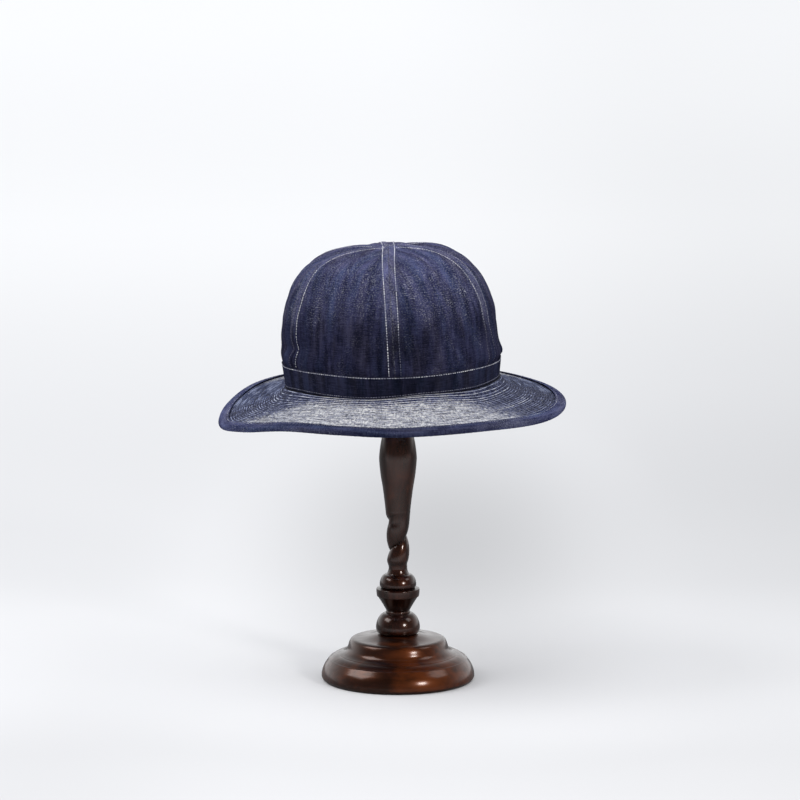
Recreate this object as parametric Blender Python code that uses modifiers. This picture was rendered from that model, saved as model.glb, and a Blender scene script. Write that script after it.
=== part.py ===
"""An army work hat of indigo denim on a turned wooden hat stand.

Metres, +Z up. The origin is the centre of the stand's underside, and the hat's front faces -Y.
Azimuths run from the front towards +X, so +90 degrees is the wearer's left and the viewer's right.

The stand is a moulded base, one turned column with a carved twist, and a plain head that the hat hides.
The hat is six sewn crown panels, a band round their foot, a stitched brim and the binding of its edge.
"""

import bisect
import math

import bpy
from mathutils import Vector
from mathutils.bvhtree import BVHTree

GAP = 0.0003  # left between pieces that touch

# Stand base, from the floor up
BASE_RADIUS = 0.0677
BASE_CHAMFER = 0.0012
BASE_EDGE_HEIGHT = 0.004
SHOULDER_RADIUS = 0.0535
SHOULDER_HEIGHT = 0.0215
COVE_RADIUS = 0.0515
TIER_RADIUS = 0.0453
TIER_EDGE_HEIGHT = 0.0290
TIER_TOP_RADIUS = 0.0418
TIER_HEIGHT = 0.0358
SEAT_RADIUS = 0.0190
BASE_HEIGHT = 0.0410

# Stand column: a knop, a twist, a vase and a hidden post
KNOP_RADIUS = 0.0192
KNOP_HEIGHT = 0.0597
TWIST_RADIUS = 0.0101
TWIST_HEIGHT = 0.0510
TWIST_PITCH = 0.0273
TWIST_RUN_IN = 0.0070
TWIST_RUN_OUT = 0.0130
GROOVE_DEPTH = 0.0036
GROOVE_START = math.radians(75)
GROOVE_ROUNDNESS = 0.65
VASE_RADIUS = 0.0166
VASE_HEIGHT = 0.0840
POST_RADIUS = 0.0100

# Stand head, which carries the crown
HEAD_RADIUS = 0.0460
HEAD_HEIGHT = 0.0210
HEAD_EDGE_HEIGHT = 0.0100
HEAD_SOCKET_DEPTH = 0.0060
HEAD_SOCKET_RIM = 0.0035  # flat ring round the socket

# Hat
OPENING_WIDTH = 0.1880
OPENING_DEPTH = 0.1980
CROWN_HEIGHT = 0.1190
CLOTH = 0.0014
BAND_HEIGHT = 0.0185
BAND_WALL = 0.0012
TUCK_HEIGHT = 0.0055  # over which the crown swells out above the band
SEAM_RIDGE = 0.0007
SEAM_HALF_WIDTH = 0.0062
GORE_HOLLOW = 0.0010
FOLD_DEPTH = 0.0040
BRIM_REACH = 0.0590
BRIM_DROP = 0.0270
BRIM_THICKNESS = 0.0026
BRIM_CURL = 1.15
BINDING_WIDTH = 0.0090
BINDING_CLOTH = 0.0010
HAT_TILT = math.radians(3.0)  # the -X side hangs lower
HAT_SHIFT = 0.0048  # towards -X
HAT_HEIGHT = 0.2680  # of the head opening's centre

# How finely things are made
BASE_SIDES = 40
COLUMN_SIDES = 24
HEAD_SIDES = 24
ARC_STEPS = 4
TWIST_ROWS = 20
ROUND_STATIONS = 72
PROFILE_SAMPLES = 16
CROWN_ROWS_ABOVE_BAND = 11
BRIM_RINGS = 4

# Rise as a share of KNOP_HEIGHT, radius at the top and swell as shares of KNOP_RADIUS
KNOP_FOOT = 0.78
KNOP_STEPS = (
    # name, rise, top radius, swell, rows
    ("foot bead", 0.338, 0.52, 0.31, 7),
    ("neck", 0.042, 0.54, 0.00, 1),
    ("cup", 0.226, 0.96, 0.02, 2),
    ("cup rim", 0.100, 0.97, 0.03, 3),
    ("ledge", 0.026, 0.76, 0.00, 1),
    ("upper bead", 0.180, 0.51, 0.20, 5),
    ("cove", 0.088, 0.43, -0.02, 2),
)

# Height as a share of VASE_HEIGHT, radius as a share of VASE_RADIUS
VASE_FOOT = 0.66
VASE_PROFILE = (
    # height, radius
    (0.00, VASE_FOOT),
    (0.12, 0.73),
    (0.24, 0.81),
    (0.36, 0.91),
    (0.48, 0.98),
    (0.57, 1.00),
    (0.67, 0.95),
    (0.78, 0.85),
    (0.89, 0.71),
)

# Heights as shares of CROWN_HEIGHT, reach as a share of half the opening
CROWN_PROFILE = (
    # height, reach
    (0.000, 1.000),
    (0.110, 1.017),
    (0.225, 1.032),
    (0.340, 1.018),
    (0.450, 1.006),
    (0.555, 0.988),
    (0.655, 0.946),
    (0.745, 0.893),
    (0.830, 0.822),
    (0.895, 0.732),
    (0.943, 0.612),
    (0.973, 0.478),
    (0.990, 0.328),
    (0.998, 0.165),
    (1.000, 0.000),
)

# Crown seams: the front and back ones, and two each side
SEAM_AZIMUTHS = (2, 64, 122, 181, 239, 297)
PANEL_NAMES = (
    "crown_panel_front_right",
    "crown_panel_right",
    "crown_panel_back_right",
    "crown_panel_back_left",
    "crown_panel_left",
    "crown_panel_front_left",
)

# Depth as a share of FOLD_DEPTH, inwards; height and tallness as shares of CROWN_HEIGHT
CROWN_FOLDS = (
    # name, azimuth, height, half width in degrees, tallness, lean in degrees per height, depth
    ("front dent", 14, 0.30, 12, 0.17, -45, 0.85),
    ("front crease", 6, 0.44, 6, 0.10, -50, 0.40),
    ("left crease", -72, 0.30, 13, 0.035, 0, 0.55),
    ("right bulge", 86, 0.21, 20, 0.040, 0, -0.40),
    ("right hollow", 64, 0.52, 10, 0.12, 10, 0.30),
    ("left hollow", -38, 0.58, 14, 0.16, 15, 0.30),
    ("back dent", 192, 0.34, 15, 0.15, 40, 0.75),
    ("back fold", 152, 0.50, 9, 0.22, -25, 0.50),
    ("side fold", 118, 0.32, 9, 0.14, 20, 0.45),
    ("rear left fold", 236, 0.42, 10, 0.18, -20, 0.50),
)

# How the band waves: the rise of its two edges, as shares of BAND_HEIGHT
BAND_WAVES = (
    # azimuth, foot, top
    (0, 0.02, 0.01),
    (16, 0.07, -0.03),
    (45, -0.01, -0.05),
    (70, 0.02, -0.09),
    (95, 0.00, -0.12),
    (140, 0.00, -0.06),
    (180, 0.06, 0.04),
    (220, 0.00, 0.06),
    (270, 0.00, 0.13),
    (300, 0.15, 0.20),
    (325, 0.08, 0.17),
    (345, 0.00, 0.06),
)

# The brim's edge: its fall below the head opening and its reach, as shares of BRIM_DROP and BRIM_REACH
BRIM_EDGE = (
    # azimuth, drop, reach
    (0, 0.77, 1.00),
    (30, 0.86, 1.00),
    (60, 1.02, 1.00),
    (90, 0.97, 0.975),
    (120, 0.80, 0.99),
    (150, 0.57, 1.00),
    (180, 0.45, 1.00),
    (210, 0.33, 1.00),
    (235, 0.42, 1.01),
    (255, 0.75, 1.02),
    (275, 1.03, 1.035),
    (300, 0.84, 1.02),
    (322, 0.60, 1.00),
    (342, 0.65, 1.00),
)


def clear_scene():
    for old in list(bpy.data.objects):
        bpy.data.objects.remove(old)


def smoothstep(share):
    share = min(1.0, max(0.0, share))
    return share * share * (3.0 - 2.0 * share)


def mix(start, end, share):
    return start + (end - start) * share


def curve_through(rows, x):
    """The height at x of a smooth curve through rows of (x, y)."""
    last = len(rows) - 1
    i = min(max(bisect.bisect_right([row[0] for row in rows], x) - 1, 0), last - 1)

    def slope(k):
        before, after = rows[max(k - 1, 0)], rows[min(k + 1, last)]
        return (after[1] - before[1]) / (after[0] - before[0])

    span = rows[i + 1][0] - rows[i][0]
    u = (x - rows[i][0]) / span
    return (
        (1 + 2 * u) * (1 - u) ** 2 * rows[i][1]
        + u * (1 - u) ** 2 * span * slope(i)
        + u * u * (3 - 2 * u) * rows[i + 1][1]
        + u * u * (u - 1) * span * slope(i + 1)
    )


def curve_round(rows, azimuth, column):
    """The value at an azimuth in degrees of a closed smooth curve through a column of rows."""
    points = [(row[0], row[column]) for row in rows]
    before = [(a - 360, value) for a, value in points[-2:]]
    after = [(a + 360, value) for a, value in points[:2]]
    return curve_through([*before, *points, *after], azimuth % 360)


# Materials and meshes


def principled(name, colour, roughness):
    material = bpy.data.materials.new(name)
    material.use_nodes = True
    shader = material.node_tree.nodes["Principled BSDF"]
    shader.inputs["Base Color"].default_value = (*colour, 1.0)
    shader.inputs["Roughness"].default_value = roughness
    shader.inputs["Metallic"].default_value = 0.0
    material.diffuse_color = (*colour, 1.0)
    return material


def mesh_object(name, points, faces, material, collection, parent=None):
    mesh = bpy.data.meshes.new(name)
    mesh.from_pydata([tuple(p) for p in points], [], faces)
    mesh.validate()
    obj = bpy.data.objects.new(name, mesh)
    obj.parent = parent
    mesh.materials.append(material)
    collection.objects.link(obj)
    mesh.shade_smooth()
    return obj


def grid_faces(rows, columns, closed_round=False, closed_rows=False):
    """Faces of a grid whose points run along each row in turn, seen with rows going up and columns to the right."""
    faces = []
    for row in range(rows if closed_rows else rows - 1):
        above = (row + 1) % rows
        for column in range(columns if closed_round else columns - 1):
            right = (column + 1) % columns
            faces.append(
                (
                    row * columns + column,
                    row * columns + right,
                    above * columns + right,
                    above * columns + column,
                )
            )
    return faces


def thicken(obj, thickness):
    """Gives an open surface its wall, on the side away from its faces."""
    solidify = obj.modifiers.new("Wall", "SOLIDIFY")
    solidify.thickness = thickness
    solidify.offset = -1.0
    solidify.use_even_offset = True
    solidify.use_rim = True


def stations(count):
    return [2 * math.pi * i / count for i in range(count)]


# Stand


def arc(centre, radii, start, end, steps):
    """Points (radius, height) of an elliptical arc, from the angle start to the angle end in degrees."""
    points = []
    for i in range(steps + 1):
        angle = math.radians(mix(start, end, i / steps))
        points.append(
            (
                centre[0] + radii[0] * math.cos(angle),
                centre[1] + radii[1] * math.sin(angle),
            )
        )
    return points


def turned(name, profile, sides, material, collection):
    """A turned solid: the profile runs down its outer side, from the axis at the top to the axis at the bottom."""
    points = [(radius, 0.0, height) for radius, height in profile]
    mesh = bpy.data.meshes.new(name)
    mesh.from_pydata(points, [(i, i + 1) for i in range(len(points) - 1)], [])
    obj = bpy.data.objects.new(name, mesh)
    collection.objects.link(obj)
    mesh.materials.append(material)
    screw = obj.modifiers.new("Turning", "SCREW")
    screw.axis = "Z"
    screw.angle = 2 * math.pi
    screw.steps = screw.render_steps = sides
    screw.use_merge_vertices = True
    screw.merge_threshold = 0.00001
    screw.use_smooth_shade = True
    return obj


def base_profile():
    """The base: a nearly flat top tier, a rounded edge, a cove, a broad rounded shoulder and an upright foot."""
    tier_edge = arc(
        (TIER_TOP_RADIUS, TIER_EDGE_HEIGHT),
        (TIER_RADIUS - TIER_TOP_RADIUS, TIER_HEIGHT - TIER_EDGE_HEIGHT),
        90,
        0,
        ARC_STEPS - 1,
    )
    cove = arc(
        (COVE_RADIUS, TIER_EDGE_HEIGHT),
        (COVE_RADIUS - TIER_RADIUS, TIER_EDGE_HEIGHT - SHOULDER_HEIGHT),
        180,
        270,
        ARC_STEPS - 1,
    )
    shoulder = arc(
        (SHOULDER_RADIUS, BASE_EDGE_HEIGHT),
        (BASE_RADIUS - SHOULDER_RADIUS, SHOULDER_HEIGHT - BASE_EDGE_HEIGHT),
        90,
        0,
        ARC_STEPS + 1,
    )
    return [
        (0.0, BASE_HEIGHT),
        (SEAT_RADIUS, BASE_HEIGHT),
        (
            mix(SEAT_RADIUS, TIER_TOP_RADIUS, 0.45),
            mix(BASE_HEIGHT, TIER_HEIGHT, 0.62),
        ),
        *tier_edge,
        *cove[1:],
        *shoulder,
        (BASE_RADIUS, BASE_CHAMFER),
        (BASE_RADIUS - BASE_CHAMFER, 0.0),
        (0.0, 0.0),
    ]


def knop_profile():
    """(radius, height) pairs of the knop above the column's foot: beads and a cup, each a straight run plus a swell."""
    radius, height = KNOP_FOOT * KNOP_RADIUS, 0.0
    profile = [(radius, height)]
    for _, rise, top, swell, rows in KNOP_STEPS:
        top_radius, top_height = top * KNOP_RADIUS, height + rise * KNOP_HEIGHT
        for i in range(1, rows + 1):
            share = i / rows
            # Rows bunch at a bead's two ends, where it turns fastest
            along = 0.5 - 0.5 * math.cos(math.pi * share) if swell > 0.05 else share
            swelling = swell * KNOP_RADIUS * math.sqrt(1 - (2 * along - 1) ** 2)
            profile.append(
                (
                    mix(radius, top_radius, along) + swelling,
                    mix(height, top_height, along),
                )
            )
        radius, height = top_radius, top_height
    return profile


def twist_radius(height, azimuth, foot_radius):
    """The twist's surface: a round strand with one helical groove that fades at both ends."""
    run_in = smoothstep(height / TWIST_RUN_IN)
    run_out = smoothstep((TWIST_HEIGHT - height) / TWIST_RUN_OUT)
    crest = mix(foot_radius, TWIST_RADIUS, run_in)
    crest = mix(VASE_FOOT * VASE_RADIUS, crest, run_out)
    turn = azimuth - GROOVE_START - 2 * math.pi * height / TWIST_PITCH
    fall = 1 - abs(math.sin(turn / 2)) ** GROOVE_ROUNDNESS
    return crest - GROOVE_DEPTH * fall * run_in * run_out


def column_rings(top):
    """Rings of the column from its foot up to a height, each a height and its radius at every side."""
    azimuths = stations(COLUMN_SIDES)
    foot = BASE_HEIGHT + GAP
    rings = []
    for radius, height in knop_profile():
        rings.append((foot + height, [radius] * COLUMN_SIDES))
    knop_top, knop_top_radius = rings[-1][0], rings[-1][1][0]
    for i in range(1, TWIST_ROWS):
        height = TWIST_HEIGHT * i / TWIST_ROWS
        radii = [twist_radius(height, a, knop_top_radius) for a in azimuths]
        rings.append((knop_top + height, radii))
    vase_foot = knop_top + TWIST_HEIGHT
    for share, radius in VASE_PROFILE:
        rings.append((vase_foot + share * VASE_HEIGHT, [radius * VASE_RADIUS] * COLUMN_SIDES))
    for height in (vase_foot + VASE_HEIGHT, top):
        rings.append((height, [POST_RADIUS] * COLUMN_SIDES))
    return rings


def make_column(top, material, collection):
    """The column up to a height: a loft, because its twisted stretch isn't round."""
    rings = column_rings(top)
    points = []
    for height, radii in rings:
        for azimuth, radius in zip(stations(COLUMN_SIDES), radii):
            points.append((radius * math.sin(azimuth), -radius * math.cos(azimuth), height))
    faces = grid_faces(len(rings), COLUMN_SIDES, closed_round=True)
    top_row = (len(rings) - 1) * COLUMN_SIDES
    faces.append(tuple(reversed(range(COLUMN_SIDES))))
    faces.append(tuple(top_row + i for i in range(COLUMN_SIDES)))
    return mesh_object("stand_column", points, faces, material, collection)


def head_profile(foot):
    """The head: a low dome over a rounded underside, with a socket for the post. foot is its underside's height."""
    edge = foot + HEAD_EDGE_HEIGHT
    dome = arc((0.0, edge), (HEAD_RADIUS, HEAD_HEIGHT - HEAD_EDGE_HEIGHT), 90, 0, 2 * ARC_STEPS)
    socket = POST_RADIUS + GAP
    rim = socket + HEAD_SOCKET_RIM
    underside = arc((rim, edge), (HEAD_RADIUS - rim, HEAD_EDGE_HEIGHT), 0, -90, ARC_STEPS + 1)
    roof = foot + HEAD_SOCKET_DEPTH + GAP
    return [*dome, *underside[1:], (socket, foot), (socket, roof), (0.0, roof)]


def head_rise(x, y):
    """Height of the head's dome above its underside, over the point x, y."""
    share = min(1.0, math.hypot(x, y) / HEAD_RADIUS)
    return HEAD_EDGE_HEIGHT + (HEAD_HEIGHT - HEAD_EDGE_HEIGHT) * math.sqrt(1 - share * share)


# Hat


class Meridian:
    """The crown's profile from the head opening to the apex, read by the share of its length."""

    def __init__(self):
        rows = [*CROWN_PROFILE, (CROWN_PROFILE[-2][0], -CROWN_PROFILE[-2][1])]
        heights = [(i, row[0] * CROWN_HEIGHT) for i, row in enumerate(rows)]
        reaches = [(i, row[1]) for i, row in enumerate(rows)]
        count = (len(CROWN_PROFILE) - 1) * PROFILE_SAMPLES
        half_opening = (OPENING_WIDTH + OPENING_DEPTH) / 4
        self.points = []
        for k in range(count + 1):
            at = k / PROFILE_SAMPLES
            self.points.append((curve_through(heights, at), curve_through(reaches, at)))
        self.lengths = [0.0]
        for (h0, r0), (h1, r1) in zip(self.points, self.points[1:]):
            step = math.hypot(h1 - h0, (r1 - r0) * half_opening)
            self.lengths.append(self.lengths[-1] + step)
        self.half_opening = half_opening

    def at(self, share):
        """Height, reach, and the outward normal as (outwards, up), at a share of the length."""
        length = min(1.0, max(0.0, share)) * self.lengths[-1]
        i = min(bisect.bisect_right(self.lengths, length), len(self.lengths) - 1)
        before, after = self.points[i - 1], self.points[i]
        part = (length - self.lengths[i - 1]) / (self.lengths[i] - self.lengths[i - 1])
        along_out = (after[1] - before[1]) * self.half_opening
        along_up = after[0] - before[0]
        size = math.hypot(along_out, along_up)
        normal = (along_up / size, -along_out / size)
        return mix(before[0], after[0], part), mix(before[1], after[1], part), normal

    def share_at_height(self, height):
        """Share of the length at which the side wall reaches a height."""
        i = next(k for k, point in enumerate(self.points) if point[0] >= height)
        if i == 0:
            return 0.0
        low, high = self.points[i - 1][0], self.points[i][0]
        part = (height - low) / (high - low)
        return mix(self.lengths[i - 1], self.lengths[i], part) / self.lengths[-1]


def turn_between(azimuth, other):
    """The turn in degrees from one azimuth to another, from -180 to 180."""
    return (azimuth - other + 180) % 360 - 180


def fold_depth(azimuth, height_share):
    """How far the folds push the crown in at an azimuth in degrees and a share of its height."""
    depth = 0.0
    for _, centre, height, half_width, tallness, lean, share in CROWN_FOLDS:
        up = height_share - height
        turn = turn_between(azimuth, centre + lean * up)
        depth += share * FOLD_DEPTH * math.exp(-((turn / half_width) ** 2) - (up / tallness) ** 2)
    return depth


def seam_ridge(azimuth, reach):
    """How far the doubled cloth beside a seam stands out, and how far the middle of a panel lies in."""
    nearest = min(abs(turn_between(azimuth, seam)) for seam in SEAM_AZIMUTHS)
    away = math.radians(nearest) * reach * (OPENING_WIDTH + OPENING_DEPTH) / 4
    ridge = SEAM_RIDGE * (1 - smoothstep((away - SEAM_HALF_WIDTH) / (SEAM_HALF_WIDTH / 2)))
    half_panel = 180 / len(SEAM_AZIMUTHS)
    hollow = GORE_HOLLOW * math.sin(math.pi / 2 * min(1.0, nearest / half_panel)) ** 2
    return ridge, hollow


def wave_lift(azimuth, height):
    """How far the band's waves lift the crown at a height. They die out towards the apex."""
    foot = BAND_HEIGHT * curve_round(BAND_WAVES, azimuth, 1)
    top = BAND_HEIGHT * curve_round(BAND_WAVES, azimuth, 2)
    above = max(0.0, height - BAND_HEIGHT) / (CROWN_HEIGHT - BAND_HEIGHT)
    return mix(foot, top, smoothstep(height / BAND_HEIGHT)) * (1 - above)


def crown_point(meridian, azimuth, share, tucked=True):
    """A point of the crown's outer face. Tucked, it passes behind the band; otherwise it is the band's face."""
    height, reach, normal = meridian.at(share)
    height_share = height / CROWN_HEIGHT
    ridge, hollow = seam_ridge(azimuth, reach)
    swell = smoothstep((height - BAND_HEIGHT) / TUCK_HEIGHT)
    push = (ridge - hollow - fold_depth(azimuth, height_share)) * swell
    if tucked:
        push -= (BAND_WALL + GAP) * (1 - swell)
    angle = math.radians(azimuth)
    out = Vector((math.sin(angle) * OPENING_WIDTH / 2, -math.cos(angle) * OPENING_DEPTH / 2, 0))
    place = out * reach + Vector((0, 0, height + wave_lift(azimuth, height)))
    return place + out.normalized() * push * normal[0] + Vector((0, 0, push * normal[1]))


def make_panel(name, meridian, start, end, material, collection, parent):
    """One crown panel between two seams. Its sides stop half a gap short of them, and its tip is a point."""
    half_angle = (end - start) / 2
    middle = start + half_angle
    half_opening = (OPENING_WIDTH + OPENING_DEPTH) / 4
    seam_share = SEAM_HALF_WIDTH / (math.radians(half_angle) * half_opening)
    across = (-1, -1 + seam_share, -1 + 1.5 * seam_share, -0.42, 0, 0.42)
    across = (*across, 1 - 1.5 * seam_share, 1 - seam_share, 1)
    shares = [
        meridian.share_at_height(h) for h in (0.0, BAND_HEIGHT, BAND_HEIGHT + TUCK_HEIGHT)
    ]
    tip = 1 - 2 * GAP / meridian.lengths[-1]
    for i in range(1, CROWN_ROWS_ABOVE_BAND):
        shares.append(mix(shares[2], tip, i / CROWN_ROWS_ABOVE_BAND))
    points = []
    for share in shares:
        radius = meridian.at(share)[1] * half_opening
        trim = math.degrees(GAP / radius)
        for side in across:
            azimuth = middle + side * (half_angle - trim)
            points.append(crown_point(meridian, azimuth, share))
    faces = grid_faces(len(shares), len(across))
    points.append(crown_point(meridian, middle, tip))
    last_row = (len(shares) - 1) * len(across)
    for i in range(len(across) - 1):
        faces.append((last_row + i, last_row + i + 1, len(points) - 1))
    panel = mesh_object(name, points, faces, material, collection, parent)
    thicken(panel, CLOTH)
    return panel


def make_band(meridian, material, collection, parent):
    """The strip of denim round the crown's foot, flush with the crown above it."""
    points = []
    heights = (0.0, BAND_HEIGHT / 2, BAND_HEIGHT)
    for height in heights:
        share = meridian.share_at_height(height)
        for angle in stations(ROUND_STATIONS):
            points.append(crown_point(meridian, math.degrees(angle), share, tucked=False))
    faces = grid_faces(len(heights), ROUND_STATIONS, closed_round=True)
    band = mesh_object("hat_band", points, faces, material, collection, parent)
    thicken(band, BAND_WALL)
    return band


def brim_point(azimuth, outwards):
    """A point of the brim's upper face, outwards metres beyond the head opening's outline."""
    share = max(0.0, outwards / BRIM_REACH)
    reach = outwards * mix(1.0, curve_round(BRIM_EDGE, azimuth, 2), share)
    fall = BRIM_DROP * curve_round(BRIM_EDGE, azimuth, 1) * share**BRIM_CURL
    angle = math.radians(azimuth)
    return Vector(
        (
            (OPENING_WIDTH / 2 + reach) * math.sin(angle),
            -(OPENING_DEPTH / 2 + reach) * math.cos(angle),
            wave_lift(azimuth, 0.0) * (1 - share) - GAP - fall,
        )
    )


def make_brim(material, collection, parent):
    """The stitched brim. Its inner rim lies flat under the crown and band, and its edge stops inside the binding."""
    under_crown = BAND_WALL + GAP + CLOTH
    edge = BRIM_REACH - BINDING_CLOTH - GAP
    rings = [-under_crown] + [edge * i / BRIM_RINGS for i in range(BRIM_RINGS + 1)]
    points = []
    for outwards in reversed(rings):
        for angle in stations(ROUND_STATIONS):
            points.append(brim_point(math.degrees(angle), outwards))
    faces = grid_faces(len(rings), ROUND_STATIONS, closed_round=True)
    brim = mesh_object("brim", points, faces, material, collection, parent)
    thicken(brim, BRIM_THICKNESS)
    return brim


def make_binding(material, collection, parent):
    """The tape folded round the brim's edge, as a U-shaped section carried round it."""
    edge = BRIM_REACH - BINDING_CLOTH - GAP
    half_inside = BRIM_THICKNESS / 2 + GAP
    half_outside = half_inside + BINDING_CLOTH
    corner = 0.5 * half_outside
    section = (
        # along the brim from its own edge, and up from its middle
        (-BINDING_WIDTH, -half_outside),
        (GAP + BINDING_CLOTH - corner, -half_outside),
        (GAP + BINDING_CLOTH, -half_outside + corner),
        (GAP + BINDING_CLOTH, half_outside - corner),
        (GAP + BINDING_CLOTH - corner, half_outside),
        (-BINDING_WIDTH, half_outside),
        (-BINDING_WIDTH, half_inside),
        (GAP, half_inside),
        (GAP, -half_inside),
        (-BINDING_WIDTH, -half_inside),
    )
    rows = []
    for angle in stations(ROUND_STATIONS):
        azimuth = math.degrees(angle)
        tip = brim_point(azimuth, edge)
        outward = (tip - brim_point(azimuth, edge - BINDING_WIDTH)).normalized()
        beside = brim_point(azimuth + 1, edge) - brim_point(azimuth - 1, edge)
        up = outward.cross(beside).normalized()
        middle = tip - up * BRIM_THICKNESS / 2
        rows.append([middle + outward * along + up * rise for along, rise in section])
    points = [rows[i][k] for k in range(len(section)) for i in range(len(rows))]
    faces = grid_faces(len(section), len(rows), closed_round=True, closed_rows=True)
    return mesh_object("brim_binding", points, faces, material, collection, parent)


def head_seat(panels):
    """The height of the head's underside at which its dome just clears the crown's inside."""
    graph = bpy.context.evaluated_depsgraph_get()
    trees = [BVHTree.FromObject(panel, graph) for panel in panels]
    to_hat = panels[0].matrix_world.inverted()
    up = to_hat.to_3x3() @ Vector((0, 0, 1))
    seats = []
    for ring in range(HEAD_SIDES // 2 + 1):
        radius = HEAD_RADIUS * ring / (HEAD_SIDES // 2)
        for angle in stations(2 * HEAD_SIDES):
            x, y = radius * math.sin(angle), radius * math.cos(angle)
            start = to_hat @ Vector((x, y, HAT_HEIGHT))
            hits = [tree.ray_cast(start, up) for tree in trees]
            clear = [hit[3] for hit in hits if hit[0] is not None]
            if clear:
                seats.append(HAT_HEIGHT + min(clear) - head_rise(x, y))
    return min(seats) - GAP


def build():
    clear_scene()
    collection = bpy.data.collections.new("army_hat_on_stand")
    bpy.context.scene.collection.children.link(collection)

    denim = principled("denim", (0.025, 0.030, 0.085), 0.9)
    brim_denim = principled("stitched_denim", (0.160, 0.170, 0.240), 0.9)
    binding_denim = principled("binding_denim", (0.030, 0.036, 0.100), 0.9)
    wood = principled("dark_wood", (0.060, 0.018, 0.010), 0.25)

    hat = bpy.data.objects.new("hat", None)
    hat.location = (-HAT_SHIFT, 0, HAT_HEIGHT)
    hat.rotation_euler = (0, -HAT_TILT, 0)
    collection.objects.link(hat)
    meridian = Meridian()
    panels = []
    ends = [*SEAM_AZIMUTHS[1:], SEAM_AZIMUTHS[0] + 360]
    for name, start, end in zip(PANEL_NAMES, SEAM_AZIMUTHS, ends):
        panels.append(make_panel(name, meridian, start, end, denim, collection, hat))
    make_band(meridian, denim, collection, hat)
    make_brim(brim_denim, collection, hat)
    make_binding(binding_denim, collection, hat)
    bpy.context.view_layer.update()

    head_foot = head_seat(panels)
    turned("stand_head", head_profile(head_foot), HEAD_SIDES, wood, collection)
    make_column(head_foot + HEAD_SOCKET_DEPTH, wood, collection)
    turned("stand_base", base_profile(), BASE_SIDES, wood, collection)
    bpy.context.view_layer.update()


build()
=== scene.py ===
"""Looks of the denim army hat on its turned wooden stand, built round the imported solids.

Metres, +Z up. The hat's front faces -Y, and azimuths run from the front towards +X, in degrees.
The hat's pieces are worked out in the hat's own frame, whose origin is the centre of its head opening,
and HAT_TURN and HAT_PLACE carry them onto the stand.

Each cloth piece is a closed body of fine mesh, with its seams, rows, puckers and folded edges in the
mesh. Each stitch is a small solid of its own, joined with the others of its rows.
"""

import math

import bpy
import numpy as np
from mathutils import Matrix, Vector


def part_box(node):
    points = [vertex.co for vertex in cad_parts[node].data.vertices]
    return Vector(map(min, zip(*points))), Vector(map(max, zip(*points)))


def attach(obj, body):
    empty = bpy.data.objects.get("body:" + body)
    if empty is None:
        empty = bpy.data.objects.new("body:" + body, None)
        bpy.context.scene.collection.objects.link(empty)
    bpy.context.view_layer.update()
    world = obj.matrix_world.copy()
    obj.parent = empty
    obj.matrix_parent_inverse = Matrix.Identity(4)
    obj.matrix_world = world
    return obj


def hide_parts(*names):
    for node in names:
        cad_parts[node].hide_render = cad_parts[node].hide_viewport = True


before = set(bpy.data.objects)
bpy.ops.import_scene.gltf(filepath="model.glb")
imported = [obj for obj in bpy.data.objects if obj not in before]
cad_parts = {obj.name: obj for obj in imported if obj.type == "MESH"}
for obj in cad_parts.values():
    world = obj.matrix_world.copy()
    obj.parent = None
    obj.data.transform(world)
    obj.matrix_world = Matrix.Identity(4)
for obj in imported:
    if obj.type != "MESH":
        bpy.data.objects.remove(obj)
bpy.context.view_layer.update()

GAP = 0.0003  # between pieces

# Hat, as in the solids
OPENING_WIDTH = 0.1880
OPENING_DEPTH = 0.1980
HALF_OPENING = (OPENING_WIDTH + OPENING_DEPTH) / 4
CROWN_HEIGHT = 0.1190
CLOTH = 0.0014
BAND_HEIGHT = 0.0185
BAND_WALL = 0.0012
TUCK_HEIGHT = 0.0055  # over which the crown comes out from behind the band
SEAM_RIDGE = 0.0007
SEAM_HALF_WIDTH = 0.0062
GORE_HOLLOW = 0.0010
FOLD_DEPTH = 0.0040
BRIM_REACH = 0.0590
BRIM_DROP = 0.0270
BRIM_THICKNESS = 0.0026
BINDING_WIDTH = 0.0090
BINDING_CLOTH = 0.0010
HAT_TILT = math.radians(3.0)
HAT_TURN = np.array(Matrix.Rotation(-HAT_TILT, 3, "Y"))
HAT_PLACE = np.array((-0.0048, 0.0, 0.2680))

# Stand, as in the solids
BASE_RADIUS = 0.0677
BASE_EDGE_HEIGHT = 0.004
TIER_HEIGHT = 0.0358
SEAT_RADIUS = 0.0190
BASE_HEIGHT = 0.0410
KNOP_RADIUS = 0.0192
KNOP_HEIGHT = 0.0597
TWIST_RADIUS = 0.0101
TWIST_HEIGHT = 0.0510
TWIST_PITCH = 0.0273
TWIST_RUN_IN = 0.0070
TWIST_RUN_OUT = 0.0130
GROOVE_DEPTH = 0.0036
GROOVE_START = math.radians(75)
GROOVE_ROUNDNESS = 0.65
VASE_RADIUS = 0.0166
VASE_HEIGHT = 0.0840
POST_RADIUS = 0.0100
HEAD_RADIUS = 0.0460
HEAD_HEIGHT = 0.0210
HEAD_EDGE_HEIGHT = 0.0100
HEAD_SOCKET_DEPTH = 0.0060
HEAD_SOCKET_RIM = 0.0035

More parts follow.
